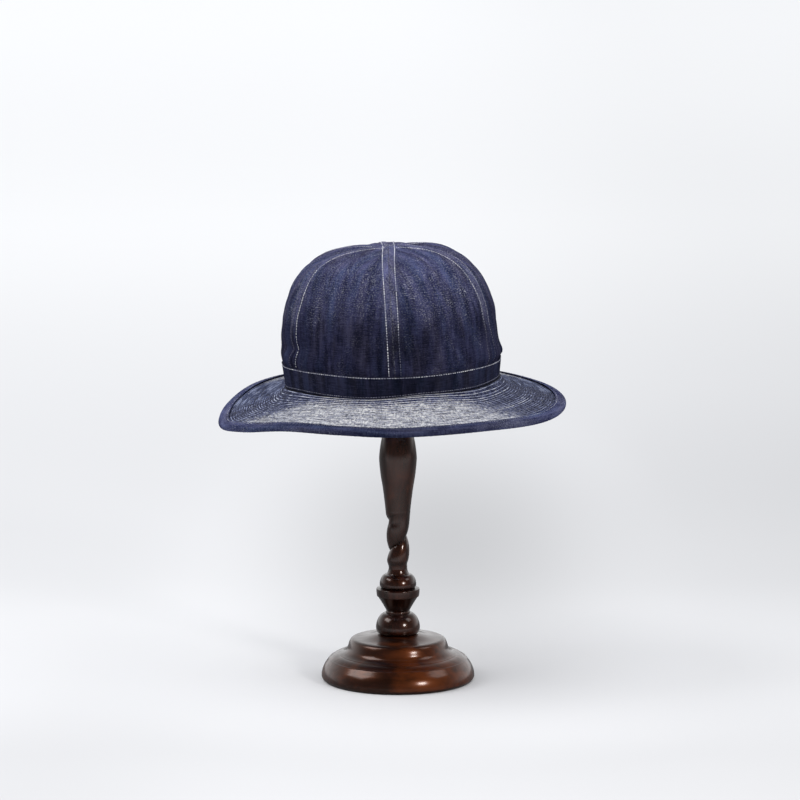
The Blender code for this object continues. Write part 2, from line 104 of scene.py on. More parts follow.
# Sewing, in the scene alone
APEX_SHIFT = 0.0027  # how far the crown's seams meet towards +X of its middle
SEAM_DRIFT = 2.8  # degrees by which the left front seam bows forward above the band
ROW_AWAY = 0.0053  # from a crown seam to each row of stitches beside it
ROW_GROOVE = 0.00055  # half width of the groove that a row sinks into
STITCH_PITCH = 0.0023
STITCH = (0.0017, 0.00072, 0.00042)  # length, width and height
STITCH_SINK = 0.00030
SEAM_FOLD = 0.0003
SEAM_FOLD_WIDTH = 0.00045
SEAM_EDGE = 0.0014  # over which the doubled cloth beside a seam ends
PUCKER = 0.00016
PUCKER_LENGTH = 0.0052
PUCKER_REACH = 0.0085
UNEVENNESS = 0.00030  # of the soft shallow waves that any hand-sewn crown has
BRIM_ROW_PITCH = 0.0022
BRIM_FIRST_ROW = 0.0017
BRIM_ROWS = 22
BRIM_STITCH_PITCH = 0.0024
BRIM_STITCH = (0.0031, 0.00074, 0.00046)
BRIGHT_ROWS = (1, 3, 4, 12)  # counted from the band
BRIM_PUFF = 0.00034
ROW_PINCH = 0.0026  # how far the rows run in under the band at the front
ROW_WANDER = 0.00022
BRIM_HOLLOW = 0.0009  # depth of the hollow along the band's foot
FLAP_LIFT = 0.0006  # of the binding's inner edges off the brim
BAND_ROWS = ((0.0014, 0.34), (0.0175, 1.0))  # height, tone
BAND_PUCKER = 0.00014
BAND_SOFTNESS = 0.00022
BINDING_ROW = 0.0014  # from the binding's inner edge
BINDING_PUCKER = 0.00020
BINDING_DROOP = 0.00018
BINDING_RADIUS = 0.153  # along which the tape's pattern runs
CROWN_TIP = 0.00035  # from the apex to the panels' tips
ROW_END = 0.0085  # from the apex to the ends of the side seams' rows
PANEL_TRIM = 0.0001  # from a seam to each panel's edge

# How finely things are made
PANEL_ROWS = 112
PANEL_MIDDLE_STEPS = 22
BAND_STATIONS = 640
BRIM_STATIONS = (640, 480)  # above and below
BRIM_STEPS = (4, 3)  # from row to row, above and below
BINDING_STATIONS = 720
BASE_SIDES = 144
COLUMN_SIDES = 96
TWIST_ROWS = 170
VASE_ROWS = 60
CROWN_ROW_SAMPLES = 700
BAND_ROW_SAMPLES = 4000
BRIM_ROW_SAMPLES = 4200
# Steps over which normals are read: degrees, and metres or a share of the meridian
CROWN_STEPS = (0.3, 0.001)
BRIM_FALL_STEPS = (0.2, 0.0004)
ROW_STEPS = (0.15, 0.0003)
BINDING_STEPS = (0.15, 0.0002)

KNOP_FOOT = 0.78
KNOP_STEPS = (
    # shares of the knop's height and radius
    # name, rise, top radius, swell, roundness, rows
    ("foot bead", 0.313, 0.55, 0.325, 0.42, 28),
    ("neck ring", 0.034, 0.53, 0.02, 0.50, 8),
    ("cup", 0.215, 0.93, -0.01, 0.90, 14),
    ("cup rim", 0.122, 0.955, 0.05, 0.22, 16),
    ("ledge", 0.014, 0.70, 0.00, 0.50, 4),
    ("upper bead", 0.196, 0.53, 0.205, 0.34, 24),
    ("cove", 0.106, 0.43, -0.03, 0.50, 10),
)
# The base's outer side, in millimetres from the rim of its top face down to its foot edge
BASE_SIDE = (
    # radius, height
    (38.60, 37.30), (39.60, 37.12), (40.50, 36.82), (41.30, 36.38), (41.95, 35.80), (42.45, 35.05),
    (42.90, 34.15), (43.38, 33.00), (43.86, 31.50), (44.42, 29.60), (44.90, 28.40), (45.60, 27.20),
    (46.55, 26.05), (47.80, 25.05), (49.30, 24.25), (50.80, 23.70), (51.80, 23.40), (52.20, 23.12),
    (53.20, 22.95), (55.40, 22.30), (57.60, 21.20), (59.40, 19.95), (60.00, 19.50), (61.00, 19.00),
    (62.20, 17.40), (63.50, 15.60), (64.75, 13.80), (65.80, 11.80), (66.60, 9.80), (67.20, 7.80),
    (67.60, 5.80), (67.70, 4.80),
)
BASE_FOOT = (
    # inwards, height
    (0.0, BASE_EDGE_HEIGHT), (0.0, 0.0034), (0.0002, 0.0026),
    (0.0009, 0.0014), (0.0018, 0.0005), (0.0026, 0.0),
)
VASE_FOOT = 0.66
VASE_PROFILE = (
    # height, radius
    (0.00, VASE_FOOT), (0.12, 0.73), (0.24, 0.81), (0.36, 0.91), (0.48, 0.98), (0.57, 1.00),
    (0.67, 0.95), (0.78, 0.85), (0.89, 0.71), (1.00, POST_RADIUS / VASE_RADIUS),
)
CROWN_PROFILE = (
    # height, reach
    (0.000, 1.000), (0.110, 1.017), (0.225, 1.032), (0.340, 1.018), (0.450, 1.006), (0.555, 0.988),
    (0.655, 0.946), (0.745, 0.893), (0.830, 0.822), (0.895, 0.732), (0.943, 0.612), (0.973, 0.478),
    (0.990, 0.328), (0.998, 0.165), (1.000, 0.000),
)
SEAM_AZIMUTHS = (2, 64, 122, 181, 239, 297)
FRONT_SEAM, RIGHT_SEAM, BACK_SEAM, LEFT_SEAM = 0, 1, 3, 5
PANELS = ("front_right", "right", "back_right", "back_left", "left", "front_left")
CROWN_FOLDS = (
    # name, azimuth, height, half width in degrees, tallness, lean in degrees per height, depth
    ("front dent", 14, 0.30, 12, 0.17, -45, 0.85),
    ("front crease", 6, 0.44, 6, 0.10, -50, 0.40),
    ("left crease", -72, 0.30, 13, 0.035, 0, 0.55),
    ("right bulge", 86, 0.21, 20, 0.040, 0, -0.40),
    ("right hollow", 64, 0.52, 10, 0.12, 10, 0.30),
    ("left hollow", -38, 0.58, 14, 0.16, 15, 0.30),
    ("back dent", 192, 0.34, 15, 0.15, 40, 0.75),
    ("back fold", 152, 0.50, 9, 0.22, -25, 0.50),
    ("side fold", 118, 0.32, 9, 0.14, 20, 0.45),
    ("rear left fold", 236, 0.42, 10, 0.18, -20, 0.50),
    ("left pinch", -60, 0.325, 12, 0.050, 20, 0.42),
)
UNEVEN_WAVES = (
    # size, waves round the hat, turn per metre of height, phase
    (1.0, 9, 70, 0.4), (1.0, 13, -110, 1.9), (0.7, 21, 165, 3.1), (0.5, 31, -240, 5.2),
)
# Painted shade in the crown's dents and folds, where less light falls
DENT_SHADE = (
    # name, azimuth, height, half width, tallness, lean, depth
    ("front dent", 10, 0.33, 9, 0.13, -50, 0.55),
    ("left of the seam", -7, 0.30, 9, 0.12, 0, 0.30),
    ("over the band", -50, 0.26, 10, 0.05, 0, 0.25),
    ("back dent", 192, 0.34, 12, 0.15, 40, 0.45),
    ("rear left fold", 236, 0.42, 9, 0.15, -20, 0.30),
)
# How pale the thread beside the crown's seams is. Some rows are dim all along, and some only towards
# the foot.
ROW_TONES = {
    # seam, side: tone at the foot, tone above, height where it changes, over
    (FRONT_SEAM, -1): (1.00, 1.00, 0.42, 0.10),
    (FRONT_SEAM, 1): (0.16, 0.85, 0.42, 0.10),
    (RIGHT_SEAM, -1): (0.14, 1.00, 0.44, 0.12),
    (RIGHT_SEAM, 1): (0.14, 0.45, 0.34, 0.12),
    (LEFT_SEAM, -1): (0.14, 0.14, 0.42, 0.10),
    (LEFT_SEAM, 1): (1.00, 1.00, 0.42, 0.10),
}
OTHER_ROW_TONE = (0.80, 0.80, 0.42, 0.10)
BAND_WAVES = (
    # azimuth, foot, top
    (0, 0.02, 0.01), (16, 0.07, -0.03), (45, -0.01, -0.05), (70, 0.02, -0.09), (95, 0.00, -0.12),
    (140, 0.00, -0.06), (180, 0.06, 0.04), (220, 0.00, 0.06), (270, 0.00, 0.13), (300, 0.15, 0.20),
    (325, 0.08, 0.17), (345, 0.00, 0.06),
)
BRIM_EDGE = (
    # azimuth, drop, reach
    (0, 0.77, 1.00), (30, 0.86, 1.00), (60, 1.02, 1.00), (90, 0.97, 0.975), (120, 0.80, 0.99),
    (150, 0.57, 1.00), (180, 0.45, 1.00), (210, 0.33, 1.00), (235, 0.42, 1.01), (255, 0.75, 1.02),
    (275, 1.03, 1.035), (300, 0.84, 1.02), (322, 0.60, 1.00), (342, 0.65, 1.00),
)
# The brim falls steeply beside the band, and flattens out towards its edge
BRIM_SAG = (
    # azimuth, share of the drop in the steep part, steepness
    (0, 0.42, 3.0), (30, 0.38, 4.0), (60, 0.27, 13.0), (90, 0.30, 12.0), (120, 0.30, 10.0),
    (150, 0.32, 6.0), (180, 0.34, 4.0), (215, 0.32, 5.0), (245, 0.30, 8.0), (270, 0.30, 10.0),
    (295, 0.32, 9.0), (325, 0.40, 3.6),
)
BRIM_BEND = 0.0012
# How pale the brim's thread is, and how blue
THREAD_TONES = (
    # azimuth, tone, stain
    (-18, 0.97, 0.00), (0, 0.93, 0.00), (18, 0.92, 0.00), (38, 0.74, 0.05), (58, 0.64, 0.20),
    (76, 0.74, 0.45), (88, 0.56, 0.70), (98, 0.18, 1.00), (128, 0.12, 1.00), (150, 0.70, 0.50),
    (170, 0.95, 0.10), (190, 0.95, 0.10), (212, 0.70, 0.50), (236, 0.12, 1.00), (258, 0.20, 1.00),
    (268, 0.72, 0.70), (284, 0.78, 0.60), (304, 0.80, 0.40), (322, 1.00, 0.04),
)
# Where the brim's pale parts end, in degrees left and right of the front, and from the back
PALE_ENDS = (
    # end at the band, how much further at the edge, over
    (34, 26, 20), (24, 18, 22), (30, 18, 20),
)
# Rows worn off at the brim's right corner, counted from the band
WORN_ROWS = (
    # row, rows to each side, depth
    (4.4, 0.7, 0.85), (7.8, 1.2, 1.00), (14.4, 0.9, 0.90), (18.6, 2.8, 0.62),
)

# Colours, linear
WHITE = (1.0, 1.0, 1.0)
BLACK = (0.0, 0.0, 0.0)
# Denim's deepest and lightest indigo, and its bare cotton
CROWN_BLUES = ((0.0078, 0.0086, 0.0250), (0.0392, 0.0408, 0.0915), (0.44, 0.45, 0.52))
INSIDE_BLUES = ((0.060, 0.066, 0.110), (0.160, 0.170, 0.250), (0.45, 0.46, 0.52))
BAND_BLUES = ((0.0078, 0.0090, 0.0205), (0.0300, 0.0320, 0.0660), (0.26, 0.26, 0.32))
TAPE_BLUES = ((0.0092, 0.0104, 0.032), (0.0470, 0.0525, 0.108), (0.32, 0.34, 0.42))
BAND_FLECKS = 0.40
COOL_TINT = (0.89, 1.03, 1.03)
WARM_TINT = (1.15, 1.07, 0.92)
# Thread from its worst stained to its cleanest
SEAM_THREAD = ((0.035, 0.038, 0.070), (0.38, 0.39, 0.49), (0.96, 0.97, 1.0))
BRIM_THREAD = ((0.045, 0.050, 0.095), (0.34, 0.37, 0.52), (0.86, 0.86, 0.88))
THREAD_STAIN = (0.72, 0.82, 1.12)
# The brim's worn cloth, its rubbed sides and its deep corners
BRIM_GREYS = ((0.028, 0.029, 0.042), (0.250, 0.252, 0.275), (0.640, 0.640, 0.640))
BRIM_CLOUD = (0.14, 0.145, 0.18)
BRIM_BLUES = ((0.015, 0.019, 0.050), (0.052, 0.066, 0.135), (0.230, 0.262, 0.390))
BRIM_DEEPS = ((0.014, 0.017, 0.044), (0.084, 0.094, 0.170))
# Painted shade in the valleys along the brim's rows
BRIM_VALLEY_SHADE = (0.30, 0.32, 0.44)
AMBER = (0.150, 0.032, 0.004)
PORE = (0.003, 0.001, 0.001)
# Painted shade for the wood's faces that look downwards
DOWNWARD_SHADE = (0.0012, 0.0006, 0.0006)
BASE_WOOD = {
    "grain": (34, 190, 190),
    "glow": 0.52,
    "specular": 0.55,
    "coat": (0.17, 1.455),
    "dark": (0.0020, 0.0009, 0.0011),
    "light": (0.0100, 0.0028, 0.0022),
}
COLUMN_WOOD = {
    "grain": (170, 170, 22),
    "glow": 0.26,
    "specular": 0.25,
    "coat": (0.15, 1.52),
    "dark": (0.0036, 0.0015, 0.0015),
    "light": (0.0190, 0.0062, 0.0054),
}
# Painted light on the floor: its tones near the stand, further back, far off and at the horizon
FLOOR_TONES = ((0.735, 0.738, 0.755), (0.690, 0.693, 0.708), (0.930, 0.934, 0.945), (0.985, 0.990, 1.0))
FLOOR_GLOW = (0.940, 0.942, 0.960)
GLOW_CENTRE = (0.035, -0.02, 0.0)
SHADOW_CENTRE = (0.045, 0.60, 0.0)

CAMERA_PLACE = (0.0018, -4.0, 0.9088)
CAMERA_DOWN = 9.347  # degrees below level
CAMERA_VIEW = 9.908  # degrees from side to side
SENSOR_WIDTH = 36
FLOOR_REACH = 45.0
LIGHTS = (
    # name, azimuth, elevation, distance, width, height, radiance, colour
    ("left_softbox", -80, 46, 2.4, 1.3, 1.3, 4.3, WHITE),
    ("right_softbox", 82, 42, 2.4, 0.9, 0.9, 2.0, WHITE),
    ("key_lamp", 38, 20, 2.2, 0.40, 0.30, 36, (1.0, 0.98, 0.95)),
)
SKY_HORIZON = 0.14
SKY_ZENITH = 1.88
SKY_SEEN = 0.97
SKY_COLOUR = (0.975, 0.985, 1.0, 1.0)


# Sums


def smoothstep(share):
    share = np.clip(share, 0.0, 1.0)
    return share * share * (3.0 - 2.0 * share)


def grown(x, start, span):
    """0 up to the start and 1 a span after it, smooth in between."""
    return smoothstep((x - start) / span)


def mix(start, end, share):
    return start + (end - start) * share


def mound(x, width):
    """1 at zero, falling off smoothly over the width to each side."""
    return np.exp(-((x / width) ** 2))


def curve_through(xs, ys, x):
    """Heights at x of a smooth curve through the points (xs, ys)."""
    xs, ys = np.asarray(xs, float), np.asarray(ys, float)
    last = len(xs) - 1
    every = np.arange(len(xs))
    before, after = np.maximum(every - 1, 0), np.minimum(every + 1, last)
    slope = (ys[after] - ys[before]) / (xs[after] - xs[before])
    i = np.clip(np.searchsorted(xs, x, side="right") - 1, 0, last - 1)
    span = xs[i + 1] - xs[i]
    u = (x - xs[i]) / span
    return (
        (1 + 2 * u) * (1 - u) ** 2 * ys[i]
        + u * (1 - u) ** 2 * span * slope[i]
        + u * u * (3 - 2 * u) * ys[i + 1]
        + u * u * (u - 1) * span * slope[i + 1]
    )


def curve_round(rows, azimuth, column):
    """Values at azimuths of a closed smooth curve through a column of rows."""
    laps = ((-360, rows[-2:]), (0, rows), (360, rows[:2]))
    xs = [row[0] + lap for lap, part in laps for row in part]
    ys = [row[column] for _, part in laps for row in part]
    return curve_through(xs, ys, np.mod(azimuth, 360))


def three_sines(slow, middle, quick, seed):
    """An uneven wave up to 1 high."""
    return (
        np.sin(slow + 2.1 * seed)
        + 0.7 * np.sin(middle + 3.7 * seed + 1.0)
        + 0.6 * np.sin(quick + 1.3 * seed + 2.0)
    ) / 2.3


def ripple(x, wavelength, seed):
    """An uneven wave along x, whose sines never fall in step."""
    turn = 2 * math.pi * x / wavelength
    return three_sines(turn, 0.618 * turn, 1.47 * turn, seed)


def ripple_round(azimuth, waves, seed):
    """An uneven wave that closes on itself round the hat."""
    turn = np.radians(azimuth)
    return three_sines(waves * turn, round(0.618 * waves) * turn, round(1.47 * waves) * turn, seed)


def turn_between(azimuth, other):
    return np.mod(azimuth - other + 180, 360) - 180


def mound_round(azimuth, centre, width):
    return mound(turn_between(azimuth, centre), width)


def outward(azimuth):
    """Points of the head opening's outline, in the hat's frame."""
    angle = np.radians(azimuth)
    x = np.sin(angle) * OPENING_WIDTH / 2
    y = -np.cos(angle) * OPENING_DEPTH / 2
    return np.stack([x, y, np.zeros_like(x)], axis=-1)


def unit(vectors):
    return vectors / np.linalg.norm(vectors, axis=-1, keepdims=True)


def normals_of(surface, first, second, first_step, second_step):
    """Normals of a surface of two numbers."""
    by_first = surface(first + first_step, second) - surface(first - first_step, second)
    by_second = surface(first, second + second_step) - surface(first, second - second_step)
    return unit(np.cross(by_first, by_second))


def dents(table, azimuth, height):
    """The depths of all the dents of a table, added up at heights that are shares of the crown's."""
    depth = 0.0
    for _, centre, middle, half_width, tallness, lean, deepest in table:
        up = height - middle
        beside = mound_round(azimuth, centre + lean * up, half_width)
        depth = depth + deepest * beside * mound(up, tallness)
    return depth


# Hat surfaces


class Meridian:
    """The crown's profile from the head opening to the apex, read by the share of its length."""

    def __init__(self, samples=64):
        rows = [*CROWN_PROFILE, (CROWN_PROFILE[-2][0], -CROWN_PROFILE[-2][1])]
        last = len(CROWN_PROFILE) - 1
        at = np.linspace(0, last, last * samples + 1)
        index = np.arange(len(rows))
        self.heights = curve_through(index, [r[0] * CROWN_HEIGHT for r in rows], at)
        self.reaches = curve_through(index, [r[1] for r in rows], at)
        up, out = np.diff(self.heights), np.diff(self.reaches) * HALF_OPENING
        lengths = np.concatenate([[0.0], np.cumsum(np.hypot(up, out))])
        self.length = lengths[-1]
        self.shares = lengths / self.length
        up, out = np.gradient(self.heights), np.gradient(self.reaches) * HALF_OPENING
        size = np.hypot(up, out)
        self.outs, self.ups = up / size, -out / size

    def at(self, share):
        """Height, reach and the outward normal's two parts, outwards and up."""
        tables = (self.heights, self.reaches, self.outs, self.ups)
        return [np.interp(share, self.shares, table) for table in tables]

    def share_at_height(self, height):
        rising = self.heights <= CROWN_HEIGHT * 0.97
        return np.interp(height, self.heights[rising], self.shares[rising])


MERIDIAN = Meridian()


def nearest_seam(azimuth, reach):
    """Metres to the nearest crown seam, which seam, and degrees to it."""
    turns = np.abs(np.stack([turn_between(azimuth, seam) for seam in SEAM_AZIMUTHS]))
    nearest = turns.min(axis=0)
    return np.sin(np.radians(nearest)) * reach * HALF_OPENING, turns.argmin(axis=0), nearest


def wave_lift(azimuth, height):
    """How far the band's waves lift the crown at a height. They die out towards the apex."""
    foot = BAND_HEIGHT * curve_round(BAND_WAVES, azimuth, 1)
    top = BAND_HEIGHT * curve_round(BAND_WAVES, azimuth, 2)
    above = np.maximum(0.0, height - BAND_HEIGHT) / (CROWN_HEIGHT - BAND_HEIGHT)
    return mix(foot, top, smoothstep(height / BAND_HEIGHT)) * (1 - above)


def seam_relief(away, along, which):
    """The doubled cloth beside a seam, the fold at the seam, the sunk rows of stitches and their
    puckers."""
    allowance = SEAM_RIDGE * (1 - grown(away, SEAM_HALF_WIDTH, SEAM_EDGE))
    fold = SEAM_FOLD * mound(away, SEAM_FOLD_WIDTH)
    row = STITCH_SINK * mound(away - ROW_AWAY, ROW_GROOVE)
    pucker = PUCKER * ripple(along, PUCKER_LENGTH, which) * mound(away, PUCKER_REACH)
    return allowance - fold - row + pucker


def cloth_unevenness(azimuth, height):
    turn = np.radians(azimuth)
    waves = (size * np.sin(round_hat * turn + up * height + phase)
             for size, round_hat, up, phase in UNEVEN_WAVES)
    return UNEVENNESS * sum(waves)


def crown_surface(azimuth, share, tucked=True):
    """Points of the crown's outer face. Tucked, it passes behind the band; otherwise it is the band's
    face."""
    height, reach, out_part, up_part = MERIDIAN.at(share)
    away, which, nearest = nearest_seam(azimuth, reach)
    hollow = GORE_HOLLOW * np.sin(np.pi / 2 * np.minimum(1.0, nearest / 30)) ** 2
    swell = grown(height, BAND_HEIGHT, TUCK_HEIGHT)
    rise = height / CROWN_HEIGHT
    push = -hollow - FOLD_DEPTH * dents(CROWN_FOLDS, azimuth, rise)
    push = (push + seam_relief(away, share * MERIDIAN.length, which)) * swell
    push = push + cloth_unevenness(azimuth, height) * swell * smoothstep(reach / 0.5)
    if tucked:
        push = push - (BAND_WALL + GAP) * (1 - swell)
    bow = grown(rise, 0.12, 0.20) * (1 - grown(rise, 0.72, 0.25))
    bow = bow * mound_round(azimuth, SEAM_AZIMUTHS[LEFT_SEAM], 28)
    out = outward(azimuth + SEAM_DRIFT * bow)
    place = out * reach[..., None]
    place[..., 0] += APEX_SHIFT * (1 - smoothstep(reach / 0.85))
    place[..., 2] += height + wave_lift(azimuth, height) + push * up_part
    return place + unit(out) * (push * out_part)[..., None]


def brim_profile(azimuth, share):
    """The share of its drop that the brim has fallen at a share of its width."""
    bend = BRIM_BEND / BRIM_REACH
    share = np.clip(np.hypot(share, bend) - bend, 0, 1) / (math.hypot(1, bend) - bend)
    steep = curve_round(BRIM_SAG, azimuth, 1)
    return steep * (1 - (1 - share) ** curve_round(BRIM_SAG, azimuth, 2)) + (1 - steep) * share


def brim_fall(azimuth, outwards):
    """Points of the brim's upper face, without its rows."""
    share = np.maximum(0.0, outwards / BRIM_REACH)
    reach = outwards * mix(1.0, curve_round(BRIM_EDGE, azimuth, 2), share)
    fall = BRIM_DROP * curve_round(BRIM_EDGE, azimuth, 1) * brim_profile(azimuth, share)
    angle = np.radians(azimuth)
    x = (OPENING_WIDTH / 2 + reach) * np.sin(angle)
    y = -(OPENING_DEPTH / 2 + reach) * np.cos(angle)
    z = wave_lift(azimuth, np.zeros_like(azimuth)) * (1 - share) - GAP - fall
    return np.stack([x, y, z], axis=-1)


def brim_surface(azimuth, outwards, depth):
    """Points at a depth below the brim's upper face."""
    down = normals_of(brim_fall, azimuth, outwards, *BRIM_FALL_STEPS)
    return brim_fall(azimuth, outwards) + down * np.asarray(depth)[..., None]


BRIM_INNER = -(BAND_WALL + GAP + CLOTH)
BRIM_OUTER = BRIM_REACH - BINDING_CLOTH - GAP


def row_reach(azimuth, nominal):
    """Where a place on the brim lies once its rows pinch under the band at the front and wander a
    little."""
    free = grown(nominal, BRIM_INNER, 0.004) * smoothstep((BRIM_OUTER - nominal) / 0.020)
    pinch = ROW_PINCH * mound_round(azimuth, -2, 22) * mound(nominal, 0.016)
    wander = ROW_WANDER * ripple_round(azimuth, 11, np.round(nominal / BRIM_ROW_PITCH))
    return nominal - (pinch + wander) * free


def row_phase(nominal):
    """Rows from the band outwards, a whole number on each row of stitches."""
    return (nominal - BRIM_FIRST_ROW) / BRIM_ROW_PITCH


def brim_puff(azimuth, nominal):
    """How far the cloth puffs up between the brim's rows."""
    phase = row_phase(nominal)
    puff = np.abs(np.sin(np.pi * phase)) ** 0.8
    uneven = 1 + 0.25 * ripple_round(azimuth, 47, np.floor(phase))
    bare = smoothstep((BRIM_OUTER - BINDING_WIDTH + 0.0004 - nominal) / 0.0010)
    return BRIM_PUFF * puff * uneven * bare


# Meshes


def place_in_world(points):
    return points @ HAT_TURN.T + HAT_PLACE


def added(name, data):
    obj = bpy.data.objects.new(name, data)
    bpy.context.scene.collection.objects.link(obj)
    return obj


def signed_volume(points, faces):
    corners = points[faces]
    fans = [corners[:, (0, i, i + 1)] for i in range(1, faces.shape[1] - 1)]
    return sum(np.linalg.det(fan).sum() for fan in fans)


def make_piece(name, points, faces, materials, uv=None, marks=None, slots=None):
    """A smooth mesh object on the stand's body. faces is a list of index arrays, one for each number of
    corners."""
    if sum(signed_volume(points, group) for group in faces) < 0:
        faces = [group[:, ::-1] for group in faces]
        uv = None if uv is None else uv[:, ::-1]
    mesh = bpy.data.meshes.new(name)
    mesh.vertices.add(len(points))
    mesh.vertices.foreach_set("co", np.asarray(points, np.float32).ravel())
    corners = np.concatenate([group.ravel() for group in faces]).astype(np.int32)
    sides = np.concatenate([np.full(len(group), group.shape[1]) for group in faces])
    starts = np.concatenate([[0], np.cumsum(sides)[:-1]]).astype(np.int32)
    mesh.loops.add(len(corners))
    mesh.loops.foreach_set("vertex_index", corners)
    mesh.polygons.add(len(sides))
    mesh.polygons.foreach_set("loop_start", starts)
    if slots is not None:
        mesh.polygons.foreach_set("material_index", slots.astype(np.int32))
    mesh.update(calc_edges=True)
    if uv is not None:
        mesh.uv_layers.new(name="cloth").data.foreach_set("uv", uv.astype(np.float32).ravel())
    for mark, values in (marks or {}).items():
        attribute = mesh.attributes.new(mark, "FLOAT", "POINT")
        attribute.data.foreach_set("value", np.asarray(values, np.float32).ravel())
    mesh.shade_smooth()
    for material in materials:
        mesh.materials.append(material)
    obj = added(name, mesh)
    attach(obj, "root")
    return obj


def grid(spans, around, count):
    """Ring and point of each face between closed rings, and the faces. After the last of count comes
    the first."""
    i, k = np.meshgrid(np.arange(spans), np.arange(around), indexing="ij")
    ring, after, beside = i * around, (i + 1) % count * around, (k + 1) % around
    return i, k, np.stack([ring + k, ring + beside, after + beside, after + k], axis=-1).reshape(-1, 4)


def loft(name, rings, flat, materials, marks, closed=True, slots=None):
    """A closed body through closed rings of points in the hat's frame, (ring, point, xyz). flat holds
    the same grid on the cloth. Closed, the last ring is the first one again; otherwise the two are
    capped across their width."""
    if flat.shape[1] == rings.shape[1]:
        flat = np.concatenate([flat, flat[:, :1]], axis=1)
    if closed:
        rings, marks = rings[:-1], {mark: values[:-1] for mark, values in marks.items()}
    count, around = rings.shape[:2]
    spans = count if closed else count - 1
    i, k, quads = grid(spans, around, count)
    uv = np.stack([flat[i, k], flat[i, k + 1], flat[i + 1, k + 1], flat[i + 1, k]], axis=-2)
    uv = uv.reshape(-1, 4, 2)
    face_slots = None if slots is None else np.broadcast_to(slots, (spans, around)).ravel()
    if not closed:
        left = np.arange(around // 2 - 1)
        cap = np.stack([left, around - 1 - left, around - 2 - left, left + 1], axis=-1)
        for ring, turned_cap in ((0, cap), (count - 1, cap[:, ::-1])):
            quads = np.concatenate([quads, turned_cap + ring * around])
            uv = np.concatenate([uv, flat[ring, turned_cap]])
            face_slots = np.concatenate([face_slots, np.zeros(len(cap))])
    points = place_in_world(rings).reshape(-1, 3)
    return make_piece(name, points, [quads], materials, uv, marks, face_slots)


def stations(count):
    """Azimuths round the hat from the back seam, with the first one again at the end."""
    return SEAM_AZIMUTHS[BACK_SEAM] + np.arange(count + 1) * 360 / count


# Stitches


def thread_shape(sides, steps):
    """One stitch as (along, aside, up) points, each from -1 to 1, and its faces: a grain that dips at
    its ends."""
    points, rings = [(-1.0, 0.0, -0.9)], []
    for step in range(1, steps):
        turn = math.pi * (step / steps)
        round_off = math.sqrt(math.sin(turn))
        rings.append(len(points))
        for side in range(sides):
            angle = 2 * math.pi * side / sides
            up = math.sin(angle) * round_off * 0.8 + (round_off - 0.9)
            points.append((-math.cos(turn), math.cos(angle) * round_off, up))
    points.append((1.0, 0.0, -0.9))
    triangles, quads = [], []
    for side in range(sides):
        beside = (side + 1) % sides
        triangles.append((0, rings[0] + beside, rings[0] + side))
        triangles.append((len(points) - 1, rings[-1] + side, rings[-1] + beside))
        for low, high in zip(rings, rings[1:]):
            quads.append((low + side, low + beside, high + beside, high + side))
    return np.array(points), np.array(triangles), np.array(quads)


def place_stitches(row, number):
    """Centres, directions, ups and marks of the stitches along one row. A row gives dense places and
    ups, its pitch, its tone, its stain of indigo and how far the stitches' tones fall short of the
    row's."""
    places, pitch = row["places"], row["pitch"]
    along = np.concatenate([[0.0], np.cumsum(np.linalg.norm(np.diff(places, axis=0), axis=1))])
    count = max(2, int(along[-1] / pitch))
    phase = 0.1 + 0.8 * (0.618 * number % 1.0)
    at = (np.arange(count) + phase) * along[-1] / count
    at = at + 0.14 * pitch * ripple(at, 0.0071, number)

    def read(table, where):
        return np.stack([np.interp(where, along, column) for column in table.T], axis=-1)

    ahead = read(places, at + pitch / 4) - read(places, at - pitch / 4)
    marks = (np.broadcast_to(row[name], along.shape) for name in ("tone", "stain", "worn"))
    marks = (np.interp(at, along, mark) for mark in marks)
    return read(places, at), unit(ahead), unit(read(row["ups"], at)), *marks


def stitches(name, rows, material, sides=4, steps=3, size=STITCH):
    """All the stitches of some rows, joined into one object."""
    placed = [place_stitches(row, number) for number, row in enumerate(rows)]
    centre, ahead, up, tone, stain, worn = (np.concatenate(column) for column in zip(*placed))
    tone = tone * (1 - worn * np.random.default_rng(len(tone)).random(len(tone)))
    up = unit(up - ahead * (up * ahead).sum(axis=-1, keepdims=True))
    shape, triangles, quads = thread_shape(sides, steps)
    axes = np.stack([ahead, np.cross(ahead, up), up], axis=1)
    points = centre[:, None] + np.einsum("pk,nkc->npc", shape * np.array(size) / 2, axes)
    points = points + up[:, None] * size[2] * 0.30
    offsets = (np.arange(len(centre)) * len(shape))[:, None, None]
    faces = [(triangles + offsets).reshape(-1, 3), (quads + offsets).reshape(-1, 4)]
    marks = {"tone": np.repeat(tone, len(shape)), "stain": np.repeat(stain, len(shape))}
    make_piece(name, points.reshape(-1, 3), faces, [material], marks=marks)


def row_on(surface, first, second, steps, tone, up=1, **look):
    """A row of stitches along places on a surface of two numbers, whose normals are read over the
    steps."""
    ups = up * normals_of(surface, first, second, *steps) @ HAT_TURN.T
    row = {"pitch": STITCH_PITCH, "tone": tone, "stain": 0.0, "worn": 0.25} | look
    return row | {"places": place_in_world(surface(first, second)), "ups": ups}


# Materials


